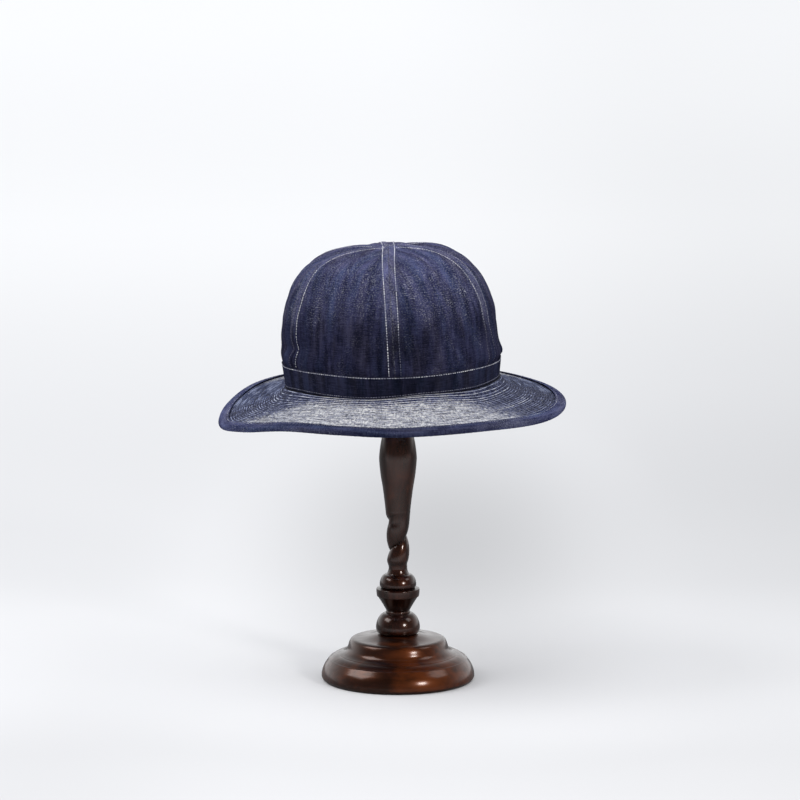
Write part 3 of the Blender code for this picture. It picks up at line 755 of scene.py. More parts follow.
class Nodes:
    """Makes nodes in a tree. The value of an input is a number, a tuple or another node's socket."""

    def __init__(self, tree):
        self.tree = tree

    def node(self, kind, inputs, **settings):
        node = self.tree.nodes.new(kind)
        for name, value in settings.items():
            setattr(node, name, value)
        self.fill(node, inputs)
        return node

    def fill(self, node, inputs):
        for socket, value in inputs.items():
            if isinstance(value, bpy.types.NodeSocket):
                self.tree.links.new(value, node.inputs[socket])
            else:
                node.inputs[socket].default_value = value

    def output(self, kind, inputs, which=0, **settings):
        return self.node(kind, inputs, **settings).outputs[which]

    def math(self, operation, a, b=0.0, c=0.0, clamp=False):
        return self.output("ShaderNodeMath", {0: a, 1: b, 2: c}, operation=operation, use_clamp=clamp)

    def times(self, a, b, clamp=False):
        return self.math("MULTIPLY", a, b, clamp=clamp)

    def plus(self, a, b):
        return self.math("ADD", a, b)

    def weighted(self, *parts):
        """The sum of values, each times its weight."""
        total = self.times(*parts[0])
        for value, weight in parts[1:]:
            total = self.plus(total, self.times(value, weight))
        return total

    def between(self, value, low, high, start=0.0, end=1.0):
        """start below low, end above high, smooth in between."""
        inputs = {0: value, 1: low, 2: high, 3: start, 4: end}
        return self.output("ShaderNodeMapRange", inputs, interpolation_type="SMOOTHSTEP")

    def vector(self, operation, inputs, which=0):
        return self.output("ShaderNodeVectorMath", inputs, which, operation=operation)

    def split(self, vector):
        return self.node("ShaderNodeSeparateXYZ", {0: vector}).outputs

    def ray(self, name):
        return self.output("ShaderNodeLightPath", {}, name)


class Paint(Nodes):
    """One node material. Its patterns lie on the cloth, in metres along it, or else in space."""

    def __init__(self, name, on_cloth=False):
        self.material = bpy.data.materials.new(name)
        self.material.use_nodes = True
        super().__init__(self.material.node_tree)
        if on_cloth:
            self.place = self.output("ShaderNodeUVMap", {}, uv_map="cloth")
        else:
            self.place = self.output("ShaderNodeTexCoord", {}, "Object")

    def mark(self, name):
        return self.output("ShaderNodeAttribute", {}, "Fac", attribute_name=name)

    def stretched(self, vector, scale):
        return self.vector("MULTIPLY", {0: vector, 1: (*scale, 0.0)[:3]})

    def noise(self, scale, detail=2.0, roughness=0.5, distortion=0.0):
        """Noise with cells 1 / scale metres across."""
        inputs = {"Vector": self.stretched(self.place, scale), "Scale": 1.0, "Detail": detail}
        inputs |= {"Roughness": roughness, "Distortion": distortion}
        return self.output("ShaderNodeTexNoise", inputs)

    def mixed(self, factor, a, b, blend="MIX"):
        a, b = (c if isinstance(c, bpy.types.NodeSocket) else (*c, 1.0) for c in (a, b))
        inputs = {0: factor, 6: a, 7: b}
        return self.output("ShaderNodeMix", inputs, 2, data_type="RGBA", blend_type=blend)

    def over(self, colour, tone, value, low, high, start=0.0, end=1.0):
        """The colour with another tone mixed in, by the smooth share of between."""
        return self.mixed(self.between(value, low, high, start, end), colour, tone)

    def ramp(self, value, *stops):
        """A colour that goes from each stop's to the next's. A stop is a value and its colour."""
        colour = stops[0][1]
        for (low, _), (high, further) in zip(stops, stops[1:]):
            colour = self.over(colour, further, value, low, high)
        return colour

    def tinted(self, colour, tint):
        return self.mixed(1.0, colour, tint, "MULTIPLY")

    def scaled(self, colour, factor):
        return self.vector("SCALE", {0: colour, 3: factor})

    def bump(self, height, distance, strength):
        inputs = {"Height": height, "Distance": distance, "Strength": strength}
        return self.output("ShaderNodeBump", inputs)

    def finished(self, inputs):
        self.fill(self.tree.nodes["Principled BSDF"], inputs)
        return self.material


def denim(name, blues, flecks=1.0):
    """Indigo denim: broad soft streaks along the warp, some warmer and some cooler, fine lines along
    the weft, pale flecks in clusters, and a twill bump. Its colour is scaled by the shade mark, which
    on the crown carries painted light and shade, and its pale flecks grow denser where that mark is
    high."""
    dark, light, pale = blues
    paint = Paint(name, on_cloth=True)
    shade, worn = paint.mark("shade"), paint.mark("wear")
    broad, streak = paint.noise((110, 22)), paint.noise((270, 45), 2, 0.55)
    yarn, weft = paint.noise((950, 110)), paint.noise((110, 900), 2, 0.6)
    tone = paint.weighted((broad, 0.36), (streak, 0.22), (yarn, 0.14), (weft, 0.28))
    colour = paint.ramp(tone, (0.39, dark), (0.63, light))
    tint = paint.ramp(paint.noise((70, 13)), (0.36, COOL_TINT), (0.50, WHITE), (0.64, WARM_TINT))
    # The shade mark paints light and shade into the colour
    colour = paint.scaled(paint.tinted(colour, tint), shade)
    cluster = paint.between(paint.noise((60, 36), 3, 0.6), 0.48, 0.72)
    salt = paint.times(paint.between(shade, 0.60, 1.50, 0.12, 1.0), cluster)
    where = paint.plus(paint.between(shade, 0.75, 1.60, 0.04, 0.30), paint.times(salt, 0.50))
    fleck = paint.between(paint.noise((700, 1100), 2, 0.6), 0.52, 0.68)
    spark = paint.between(paint.noise((300, 1000), 2, 0.6), 0.62, 0.69)
    spark = paint.times(spark, paint.times(salt, 1.15))
    shine = paint.plus(paint.times(fleck, paint.math("MAXIMUM", where, worn)), spark)
    colour = paint.mixed(paint.times(shine, flecks, clamp=True), colour, pale)
    scuff = paint.between(paint.noise((900, 700), 3, 0.7), 0.50, 0.68)
    colour = paint.mixed(paint.times(worn, scuff, clamp=True), colour, pale)
    grain = paint.noise((900, 900), 2, 0.6)
    lines = {"Vector": paint.stretched(paint.place, (900, 640)), "Scale": 1.0, "Distortion": 0.6}
    twill = paint.output("ShaderNodeTexWave", lines, "Fac", bands_direction="DIAGONAL")
    return paint.finished({
        "Base Color": colour,
        "Roughness": paint.between(grain, 0.3, 0.7, 0.95, 0.80),
        "Sheen Weight": 0.02,
        "Sheen Roughness": 0.35,
        "Sheen Tint": (0.55, 0.62, 1.0, 1.0),
        "Specular IOR Level": 0.0,
        "Normal": paint.bump(paint.weighted((twill, 0.5), (grain, 0.9)), 0.00022, 0.8),
    })


def brim_denim(name):
    """Row-stitched denim: pale and worn at the front and back, blotched indigo at the sides, and deep
    indigo at the corners and beside the band. Painted shade darkens the valleys along the rows, and a
    painted shadow lies along the band's foot."""
    paint = Paint(name, on_cloth=True)
    rows = paint.mark("rows")
    lines, dashes = paint.noise((70, 400), 2, 0.6), paint.noise((300, 430), 2, 0.6)
    ticks, grains = paint.noise((950, 150), 2, 0.6), paint.noise((900, 480), 2, 0.6)
    speckle = paint.weighted((lines, 0.34), (dashes, 0.18), (ticks, 0.28), (grains, 0.20))
    grey = paint.ramp(speckle, *zip((0.41, 0.49, 0.58), BRIM_GREYS))
    grey = paint.over(grey, BRIM_CLOUD, paint.noise((60, 90)), 0.40, 0.70, 0.0, 0.2)
    mottle = paint.weighted((paint.noise((230, 210), 3, 0.6), 0.60), (grains, 0.40))
    deep = paint.ramp(mottle, *zip((0.46, 0.60), BRIM_DEEPS))
    smudge = paint.plus(paint.noise((70, 330), 3, 0.6), paint.noise((36, 90)))
    blue = paint.ramp(smudge, *zip((0.84, 1.00, 1.18), BRIM_BLUES))
    blue = paint.mixed(paint.mark("side"), deep, blue)
    edge = paint.plus(paint.mark("fade"), paint.times(paint.math("SUBTRACT", dashes, 0.5), 2.2))
    colour = paint.over(blue, grey, edge, 0.10, 0.90)
    # Painted shade in the valleys along the rows of stitches, between the puffs, lifted where the rows
    # are rubbed flat or worn bare
    ridge = paint.math("ABSOLUTE", paint.math("SINE", paint.times(rows, math.pi)))
    rubbed = paint.between(paint.noise((42, 70), 3, 0.55), 0.42, 0.58, 0.0, 0.85)
    rubbed = paint.math("MAXIMUM", rubbed, paint.mark("bare"))
    valley_shade = paint.math("MAXIMUM", paint.between(ridge, 0.10, 0.60, 0.30, 1.0), rubbed)
    colour = paint.tinted(colour, paint.mixed(valley_shade, BRIM_VALLEY_SHADE, WHITE))
    return paint.finished({
        # Painted shadow along the band's foot: the colour falls nearly to black from the band out to
        # just short of the first row
        "Base Color": paint.scaled(colour, paint.between(rows, -0.85, -0.20, 0.05, 1.0)),
        "Roughness": paint.between(grains, 0.3, 0.7, 0.95, 0.80),
        "Sheen Weight": 0.04,
        "Sheen Roughness": 0.4,
        "Sheen Tint": (0.80, 0.85, 1.0, 1.0),
        "Specular IOR Level": 0.15,
        "Normal": paint.bump(paint.weighted((dashes, 0.7), (grains, 0.6)), 0.00030, 0.9),
    })


def thread(name, colours):
    """Cotton thread, dull and stained with indigo where its tone is low."""
    dark, middle, light = colours
    paint = Paint(name)
    fuzz = paint.noise((1400, 1400, 1400), 2, 0.6)
    patchy = paint.noise((115, 115, 115), 3, 0.55)
    stain = paint.mark("stain")
    stained = paint.times(stain, 1.05)
    fade = paint.times(paint.between(patchy, 0.34, 0.60), 0.38)
    fade = paint.plus(paint.math("SUBTRACT", 0.62, stained), fade)
    fade = paint.plus(fade, paint.times(paint.between(patchy, 0.45, 0.62), stained))
    shade = paint.times(paint.mark("tone"), paint.math("MAXIMUM", fade, 0.12))
    colour = paint.over(dark, middle, shade, 0.0, 0.55)
    colour = paint.over(colour, light, shade, 0.45, 1.0)
    return paint.finished({
        "Base Color": paint.mixed(stain, colour, paint.tinted(colour, THREAD_STAIN)),
        "Roughness": paint.between(fuzz, 0.3, 0.7, 0.85, 0.65),
        "Sheen Weight": 0.1,
        "Normal": paint.bump(fuzz, 0.00008, 0.7),
    })


def wood(name, grain, glow, specular, coat, dark, light):
    """Dark stained wood under a glossy clear coat. A warm amber shows where the stain is thinner at
    random, and as a painted glow of the key light on the front's right, with a painted reddish
    reflection along the left edge at the front. Faces that look downwards get painted shade. grain is
    the fibre's fineness along each axis, and coat its roughness and index of refraction."""
    paint = Paint(name)
    x, y, _ = paint.split(paint.place)
    fibre = paint.noise(grain, 4, 0.6, 0.4)
    pores = paint.noise(tuple(3.1 * g for g in grain), 3, 0.7)
    cloud = paint.noise((38, 38, 50), 3, 0.6, 0.6)
    # Painted light: the key light's amber glow on the front's right, and a painted reddish reflection
    # along the left edge at the front
    right = paint.times(paint.between(x, -0.030, 0.035), paint.between(x, 0.110, 0.030))
    right = paint.math("MAXIMUM", right, paint.between(x, -0.044, -0.070, 0.0, 0.55))
    stain_and_glow = paint.plus(paint.times(paint.times(right, paint.between(y, 0.050, -0.050)), 0.30), cloud)
    stain_and_glow = paint.plus(stain_and_glow, paint.times(paint.math("SUBTRACT", fibre, 0.5), 0.35))
    colour = paint.ramp(fibre, (0.34, dark), (0.66, light))
    colour = paint.over(colour, AMBER, stain_and_glow, 0.50, 0.95, 0.0, glow)
    colour = paint.over(colour, PORE, pores, 0.60, 0.72, 0.0, 0.5)
    # Painted shade on the faces that look downwards
    facing_up = paint.split(paint.output("ShaderNodeNewGeometry", {}, "Normal"))[2]
    colour = paint.over(colour, DOWNWARD_SHADE, facing_up, -0.20, -0.50, 0.0, 0.85)
    return paint.finished({
        "Base Color": colour,
        "Roughness": paint.between(fibre, 0.3, 0.7, 0.40, 0.30),
        "Specular IOR Level": specular,
        "Specular Tint": (1.0, 0.26, 0.05, 1.0),
        "Coat Weight": 0.9,
        "Coat Roughness": coat[0],
        "Coat IOR": coat[1],
        "Normal": paint.bump(pores, 0.00012, 0.4),
    })


def floor_material():
    """Pale paper, with painted light that makes it palest in the distance, a painted glow round the
    stand's foot, the hat's painted soft shadow behind it, and painted shade in front and to the sides.
    Gloss sees it darker, most of all behind the stand."""
    paint = Paint("floor_paper")
    x, y, _ = paint.split(paint.place)
    near, middle, far, horizon = FLOOR_TONES
    colour = paint.ramp(y, (0.08, near), (0.50, middle))
    colour = paint.over(colour, far, y, 0.80, 3.40)
    colour = paint.over(colour, horizon, y, 3.40, 7.50)
    # Painted shade on the floor in front of the stand
    colour = paint.over(colour, BLACK, y, -0.02, -0.30, 0.0, 0.13)
    # Painted light: a paler glow round the stand's foot
    from_foot = paint.vector("SUBTRACT", {0: paint.place, 1: GLOW_CENTRE})
    from_foot = paint.vector("LENGTH", {0: from_foot}, "Value")
    colour = paint.over(colour, FLOOR_GLOW, from_foot, 0.34, 0.06, 0.0, 0.45)
    from_shadow = paint.vector("SUBTRACT", {0: paint.place, 1: SHADOW_CENTRE})
    from_shadow = paint.vector("LENGTH", {0: paint.stretched(from_shadow, (8.0, 2.3))}, "Value")
    beside_shadow = paint.times(paint.between(y, 0.10, 0.45), paint.between(y, 1.70, 0.70))
    # Painted shadows, each mixing in black: far off to the right, the hat's shadow behind the stand,
    # beside it to the right, to the left, and a darker floor for gloss
    shadows = (
        paint.times(paint.between(x, -0.10, 0.60), paint.between(y, 2.5, 5.5, 0.11, 0.06)),
        paint.between(from_shadow, 2.1, 0.0, 0.0, 0.30),
        paint.times(paint.between(x, 0.17, 0.31, 0.0, 0.085), beside_shadow),
        paint.times(paint.between(x, -0.10, -0.30, 0.0, 0.06), paint.between(y, 1.8, 0.3)),
        paint.times(paint.ray("Is Glossy Ray"), paint.between(y, -0.50, 0.05, 0.10, 0.75)),
    )
    for shadow in shadows:
        colour = paint.mixed(shadow, colour, BLACK)
    mottle = paint.times(paint.noise((14, 14, 14), 3), 0.012)
    colour = paint.mixed(mottle, colour, (0.5, 0.5, 0.5))
    return paint.finished({"Base Color": colour, "Roughness": 0.9, "Specular IOR Level": 0.0})


# Hat pieces

# Distances from a seam of a panel's mesh lines, in millimetres
SEAM_KNOTS = (0.0, 0.15, 0.35, 0.7, 1.3, 2.2, 3.2, 4.1, 4.7, 5.05, 5.3, 5.55, 5.9, 6.3, 6.8, 7.6, 9.0)


def panel_lines(half):
    """Distances from a seam, in metres, of a panel's mesh lines up to its middle, for each row's half
    width."""
    knots = np.array(SEAM_KNOTS) / 1000
    near = knots[None] * np.minimum(1.0, half / (1.15 * knots[-1]))[:, None]
    shares = np.arange(1, PANEL_MIDDLE_STEPS + 1) / PANEL_MIDDLE_STEPS
    middle = near[:, -1:] + (half[:, None] - near[:, -1:]) * shares[None]
    return np.concatenate([near, middle], axis=1)


def crown_marks(azimuth, share):
    """How worn the crown's cloth is, and how light its indigo. It wears on the doubled cloth of its
    seams, beside their rows and at the apex, and its indigo is lighter along the seams where it is
    rubbed. Painted light from above makes the shade mark low at the foot and high towards the top, a
    painted key light raises it at the front's right, and painted shade lowers it in the dents."""
    height, reach, _, _ = MERIDIAN.at(share)
    away, which, _ = nearest_seam(azimuth, reach)
    height = height / CROWN_HEIGHT
    strip = 0.28 * (1 - grown(away, 0.0030, 0.0020)) * grown(height, 0.35, 0.3)
    apex = 0.75 * (1 - grown(reach * HALF_OPENING, 0.003, 0.006))
    edge = 0.34 * mound(away - 0.0001, 0.0005) * (which == FRONT_SEAM)
    beside = np.where(which == RIGHT_SEAM, 0.50, 0.30) * mound(away - ROW_AWAY, 0.0016)
    beside = beside * grown(height, 0.30, 0.3)
    rubbed = 0.30 * (1 - grown(away, 0.0042, 0.0014)) * grown(height, 0.40, 0.15)
    # Painted light from above: darker at the foot, lighter towards the top
    painted_top_light = mix(0.78, 1.70, grown(height, 0.38, 0.58))
    # Painted key light on the crown's front right
    glow = 1 + 0.20 * mound_round(azimuth, 34, 18) * smoothstep(height / 0.3)
    # Painted shade in the dents
    deep = np.clip(dents(DENT_SHADE, azimuth, height), 0, 0.8)
    return np.maximum(strip + edge + beside, apex), painted_top_light * glow * (1 + rubbed) * (1 - deep)


def make_panel(index, material, inside):
    start = SEAM_AZIMUTHS[index]
    end = SEAM_AZIMUTHS[(index + 1) % 6] + (360 if index == 5 else 0)
    tuck_share = MERIDIAN.share_at_height(BAND_HEIGHT - 0.001)
    tip = 1 - CROWN_TIP / MERIDIAN.length
    tucked = np.linspace(0, tuck_share, 7)[:-1]
    shares = np.concatenate([tucked, np.linspace(tuck_share, tip, PANEL_ROWS)])
    radius = MERIDIAN.at(shares)[1] * HALF_OPENING
    half = np.radians((end - start) / 2) * radius
    trim = np.minimum(PANEL_TRIM, 0.3 * half)[:, None]
    turns = np.degrees((trim + panel_lines(half) * (1 - trim / half[:, None])) / radius[:, None])
    azimuth = np.concatenate([start + turns, (end - turns)[:, -2::-1]], axis=1)
    share = np.broadcast_to(shares[:, None], azimuth.shape)
    outer = crown_surface(azimuth, share)
    by_turn = crown_surface(azimuth + 0.4, share) - crown_surface(azimuth - 0.4, share)
    above = crown_surface(azimuth, np.minimum(share + 0.002, 1))
    by_share = above - crown_surface(azimuth, share - 0.002)
    inner = outer - unit(np.cross(by_turn, by_share)) * CLOTH
    across = np.radians(azimuth - (start + end) / 2) * radius[:, None] + 0.2 * index
    flat = np.stack([across, share * MERIDIAN.length], axis=-1)
    worn, shade = crown_marks(azimuth, share)
    marks = {
        "wear": np.concatenate([worn, np.full_like(worn, 0.15)], axis=1),
        "shade": np.concatenate([shade, np.ones_like(shade)], axis=1),
    }
    rings = np.concatenate([outer, inner[:, ::-1]], axis=1)
    flat = np.concatenate([flat, flat[:, ::-1]], axis=1)
    slots = np.repeat((0.0, 1.0), outer.shape[1])
    name = f"crown_panel_{PANELS[index]}"
    panel = loft(f"{name}_cloth", rings, flat, [material, inside], marks, closed=False, slots=slots)
    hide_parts(name)


def crown_rows():
    """The rows of stitches beside the crown's seams. The front and back ones run on over the top."""
    rows = []
    first = MERIDIAN.share_at_height(BAND_HEIGHT + 0.0006)
    for seam, azimuth in enumerate(SEAM_AZIMUTHS):
        for side in (-1, 1):
            last = 0.9995 if seam in (FRONT_SEAM, BACK_SEAM) else 1 - ROW_END / MERIDIAN.length
            shares = np.linspace(first, last, CROWN_ROW_SAMPLES)
            radius = MERIDIAN.at(shares)[1] * HALF_OPENING
            kept = radius > ROW_AWAY * 1.02
            shares, radius = shares[kept], radius[kept]
            turns = azimuth + side * np.degrees(np.arcsin(ROW_AWAY / radius))
            low, high, height, over = ROW_TONES.get((seam, side), OTHER_ROW_TONE)
            tone = mix(low, high, grown(MERIDIAN.at(shares)[0] / CROWN_HEIGHT, height, over))
            rows.append(row_on(crown_surface, turns, shares, CROWN_STEPS, tone))
    return rows


def band_surface(azimuth, height):
    share = MERIDIAN.share_at_height(height)
    place = crown_surface(azimuth, share, tucked=False)
    sink = sum(STITCH_SINK * mound(height - row, 0.0005) for row, _ in BAND_ROWS)
    pucker = BAND_PUCKER * ripple_round(azimuth, 118, 1.0)
    pucker = pucker * (1 - 0.5 * mound(height - BAND_HEIGHT / 2, 0.004))
    soft = BAND_SOFTNESS * ripple_round(azimuth, 17, 2.0)
    return place + unit(outward(azimuth)) * (pucker + soft - sink)[..., None]


BAND_SECTION = (
    # height as a share, depth as a share of the wall
    *((0.010 + 0.98 * i / 30, 0.0) for i in range(31)),
    (1.000, 0.18), (1.006, 0.50), (1.000, 0.82), (0.985, 1.00), (0.700, 1.00), (0.350, 1.00),
    (0.015, 1.00), (0.000, 0.80), (-0.006, 0.50), (0.000, 0.18),
)


def make_band(material):
    heights = np.array([row[0] for row in BAND_SECTION]) * BAND_HEIGHT
    depths = np.array([row[1] for row in BAND_SECTION]) * BAND_WALL
    azimuth, height = np.meshgrid(stations(BAND_STATIONS), heights, indexing="ij")
    face = band_surface(azimuth, np.clip(height, 0, BAND_HEIGHT))
    face[..., 2] += height - np.clip(height, 0, BAND_HEIGHT)
    rings = face - unit(outward(azimuth)) * depths[None, :, None]
    aside = np.where(depths > 0.0009, 0.05, 0.0)  # keeps the inside's pattern off the outside's
    flat = np.stack([np.radians(azimuth) * HALF_OPENING, height + aside[None]], axis=-1)
    top_edge = 0.60 * mound(height - BAND_HEIGHT, 0.0005)
    top_edge = top_edge * (0.70 + 0.30 * ripple_round(azimuth, 64, 3.0))
    # Pale wear along the band's folded foot, which also paints the highlight where the fold catches
    # light
    foot_wear_and_highlight = 0.22 * mound(height - 0.0006, 0.0007)
    marks = {"wear": top_edge + foot_wear_and_highlight, "shade": 1.05 - 0.42 * mound_round(azimuth, 8, 28)}
    band = loft("hat_band_cloth", rings, flat, [material], marks)
    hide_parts("hat_band")


def band_rows():
    azimuth = np.linspace(0, 360, BAND_ROW_SAMPLES)
    rows = []
    for height, tone in BAND_ROWS:
        tones = tone * (0.9 + 0.1 * ripple_round(azimuth, 23, 4.0))
        heights = np.full_like(azimuth, height)
        rows.append(row_on(band_surface, azimuth, heights, ROW_STEPS, tones, worn=0.4))
    return rows


def fade_at(azimuth, nominal):
    """How pale the brim is: worn at the front and back, but not beside the band. Further from the
    front, only its outer part is pale, and further to the left than to the right."""
    turn = turn_between(azimuth, 0)
    out = nominal / BRIM_OUTER
    angles = (-turn, turn, 180 - np.abs(turn))
    left, right, back = (
        1 - smoothstep((angle - end - further * out) / span)
        for angle, (end, further, span) in zip(angles, PALE_ENDS)
    )
    return np.maximum(left * right, back) * grown(nominal, 0.0040, 0.014)


def worn_rows(azimuth, nominal):
    """1 where the rows of the brim's right corner have worn off, so that the others stand in
    bundles."""
    turn = turn_between(azimuth, 0)
    corner = grown(turn, 46, 14) * (1 - grown(turn, 104, 12))
    phase = row_phase(nominal)
    worn = sum(depth * mound(phase - row, width) for row, width, depth in WORN_ROWS)
    return np.clip(worn, 0, 1) * corner


def side_at(azimuth):
    """1 on the brim's two sides, where its rows hardly show, and 0 over the front and back."""
    from_front = np.abs(turn_between(azimuth, 0))
    return grown(from_front, 92, 10) * (1 - grown(from_front, 136, 16))


def make_brim_layer(name, material, below):
    """One layer of the brim, its shown face puffed between the rows and its hidden face plain. below is
    0 for the upper layer and 1 for the lower one."""
    step = BRIM_ROW_PITCH / BRIM_STEPS[below]
    inner = BRIM_FIRST_ROW - step * math.floor((BRIM_FIRST_ROW - BRIM_INNER) / step)
    shown = np.arange(inner, BRIM_OUTER, step)
    hidden = np.linspace(BRIM_OUTER, BRIM_INNER, 6)
    nominal = np.concatenate([[BRIM_INNER], shown[shown > BRIM_INNER + 0.0002], hidden])
    is_hidden = (np.arange(len(nominal)) >= len(nominal) - len(hidden))[None]
    azimuth, reach = np.meshgrid(stations(BRIM_STATIONS[below]), nominal, indexing="ij")
    outwards = row_reach(azimuth, reach)
    ends = grown(reach, BRIM_INNER, 0.0006) * smoothstep((BRIM_OUTER - reach) / 0.0006)
    puff = brim_puff(azimuth, reach) * ends
    half = BRIM_THICKNESS / 2
    if below:
        depth = np.where(is_hidden, half + 0.00005, BRIM_THICKNESS + puff)
    else:
        hollow = BRIM_HOLLOW * mound(outwards - 0.0003, 0.0011) * ends
        depth = np.where(is_hidden, half - 0.00005, hollow - puff)
    rings = brim_surface(azimuth, outwards, depth)
    flat = np.stack([np.radians(azimuth) * (HALF_OPENING + BRIM_REACH / 2), outwards], axis=-1)
    marks = {
        "rows": row_phase(reach),
        "fade": fade_at(azimuth, reach),
        "side": side_at(azimuth),
        "bare": worn_rows(azimuth, reach),
    }
    layer = loft(name, rings, flat, [material], marks)
    return layer


def brim_rows(below):
    azimuth = np.linspace(0, 360, BRIM_ROW_SAMPLES)

    def surface(turn, out):
        return brim_surface(turn, out, np.full_like(turn, BRIM_THICKNESS * below))

    stain = np.clip(curve_round(THREAD_TONES, azimuth, 2), 0, 1)
    rows = []
    for number in range(BRIM_ROWS):
        nominal = np.full_like(azimuth, BRIM_FIRST_ROW + number * BRIM_ROW_PITCH)
        tone = curve_round(THREAD_TONES, azimuth, 1) + 0.10 * ripple_round(azimuth, 9, number)
        if number in BRIGHT_ROWS:
            tone = tone + 0.30
        tone = np.clip(tone * (1 - 0.85 * worn_rows(azimuth, nominal)), 0.05, 1.2)
        worn = mix(0.15, 0.75, fade_at(azimuth, nominal))
        look = {"pitch": BRIM_STITCH_PITCH, "stain": stain, "worn": worn, "up": 1 if below else -1}
        rows.append(row_on(surface, azimuth, row_reach(azimuth, nominal), ROW_STEPS, tone, **look))
    return rows


def binding_section():
    """(along, rise) round the tape's folded section, and the share of each point that lies on its outer
    side."""
    half_inside = BRIM_THICKNESS / 2 + GAP
    half_outside = half_inside + BINDING_CLOTH
    end = GAP + BINDING_CLOTH
    nose = 0.9 * half_outside
    flap = np.linspace(-BINDING_WIDTH, end - nose, 12)
    angles = np.radians(np.linspace(90, -90, 13))[1:-1]
    over = [(a, half_outside) for a in flap]
    over += [(end - nose + nose * math.cos(a), half_outside * math.sin(a)) for a in angles]
    over += [(a, -half_outside) for a in flap[::-1]]
    inside = [(-BINDING_WIDTH - 0.0002, -half_inside - 0.0005), (-BINDING_WIDTH, -half_inside)]
    inside += [(GAP - 0.001, -half_inside), (GAP, -half_inside + 0.001)]
    inside += [(along, -rise) for along, rise in inside[::-1]]
    return np.array(over + inside), np.array([1.0] * len(over) + [0.0] * len(inside))


def binding_surface(azimuth, along, rise, outer):
    """Points of the tape, from the middle of the brim's edge outwards and up. Its outer side is sunk
    along its row of stitches, and puckered."""
    edge = np.full_like(azimuth, BRIM_OUTER)
    tip = brim_fall(azimuth, edge)
    out = unit(tip - brim_fall(azimuth, edge - BINDING_WIDTH))
    up = unit(np.cross(out, brim_fall(azimuth + 1, edge) - brim_fall(azimuth - 1, edge)))
    side = np.sign(rise)
    from_flap = along + BINDING_WIDTH
    row = STITCH_SINK * 1.3 * mound(from_flap - BINDING_ROW, 0.0006)
    pucker = BINDING_PUCKER * ripple_round(azimuth, 262, 2.0 + side) * (0.5 + mound(from_flap, 0.005))
    droop = BINDING_DROOP * smoothstep((0.0007 - from_flap) / 0.0007)
    lift = (pucker - row - droop) * outer + FLAP_LIFT * (1 - smoothstep(from_flap / 0.0035))
    middle = tip - up * BRIM_THICKNESS / 2
    return middle + out * along[..., None] + up * (rise + side * lift)[..., None]


def make_binding(material):
    section, outer = binding_section()
    azimuth, along = np.meshgrid(stations(BINDING_STATIONS), section[:, 0], indexing="ij")
    rise = np.broadcast_to(section[:, 1], azimuth.shape)
    rings = binding_surface(azimuth, along, rise, outer[None])
    around = np.concatenate([[0.0], np.cumsum(np.linalg.norm(np.diff(section, axis=0), axis=1))])
    around = np.broadcast_to(around, azimuth.shape)
    flat = np.stack([around, np.radians(azimuth) * BINDING_RADIUS], axis=-1)
    flat = np.concatenate([flat, flat[:, -1:] + np.array((0.0007, 0.0))], axis=1)
    worn = 0.16 * mound(section[:, 0] + BINDING_WIDTH, 0.0006)
    worn = worn + 0.10 * mound(section[:, 0] - GAP, 0.0008)
    worn = worn[None] * (1 + 0.5 * ripple_round(azimuth, 90, 5.0))
    aside = np.abs(np.sin(np.radians(azimuth)))
    marks = {"wear": np.clip(worn, 0, 1), "shade": 0.80 + 1.20 * aside**2}
    binding = loft("brim_binding_tape", rings, flat, [material], marks)
    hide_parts("brim_binding")


def binding_rows():
    azimuth = np.linspace(0, 360, BRIM_ROW_SAMPLES)
    along = np.full_like(azimuth, BINDING_ROW - BINDING_WIDTH)
    rise = BRIM_THICKNESS / 2 + GAP + BINDING_CLOTH
    front = mound_round(azimuth, 0, 55)
    rows = []
    for side in (1, -1):

        def surface(turn, where, level=side * rise):
            return binding_surface(turn, where, np.full_like(turn, level), 1.0)

        tone = np.clip(0.60 + 0.30 * ripple_round(azimuth, 31, 6.0 + side) - 0.55 * front, 0.05, 1)
        rows.append(row_on(surface, azimuth, along, BINDING_STEPS, tone, up=-side, worn=0.5))
    return rows


# Stand pieces


def arc(centre, radii, start, end, steps):
    """Points (radius, height) of an elliptical arc, from the angle start to the angle end in
    degrees."""
    angles = np.radians(np.linspace(start, end, steps + 1))
    return [(centre[0] + radii[0] * math.cos(a), centre[1] + radii[1] * math.sin(a)) for a in angles]


def turned(name, profile, material):
    """A turned solid: the profile runs down its outer side, from the axis at the top to the axis at the
    bottom."""
    points = [(radius, 0.0, height) for radius, height in profile]
    mesh = bpy.data.meshes.new(name)
    mesh.from_pydata(points, [(i, i + 1) for i in range(len(points) - 1)], [])
    obj = added(name, mesh)
    screw = obj.modifiers.new("Turning", "SCREW")
    screw.axis = "Z"
    screw.angle = 2 * math.pi
    screw.steps = screw.render_steps = BASE_SIDES
    screw.use_merge_vertices = True
    screw.merge_threshold = 0.00001
    graph = bpy.context.evaluated_depsgraph_get()
    solid = bpy.data.meshes.new_from_object(obj.evaluated_get(graph))
    obj.modifiers.clear()
    obj.data = solid
    solid.name = name
    solid.shade_smooth()
    solid.set_sharp_from_angle(angle=math.radians(32))
    solid.materials.clear()
    solid.materials.append(material)
    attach(obj, "root")
    return obj


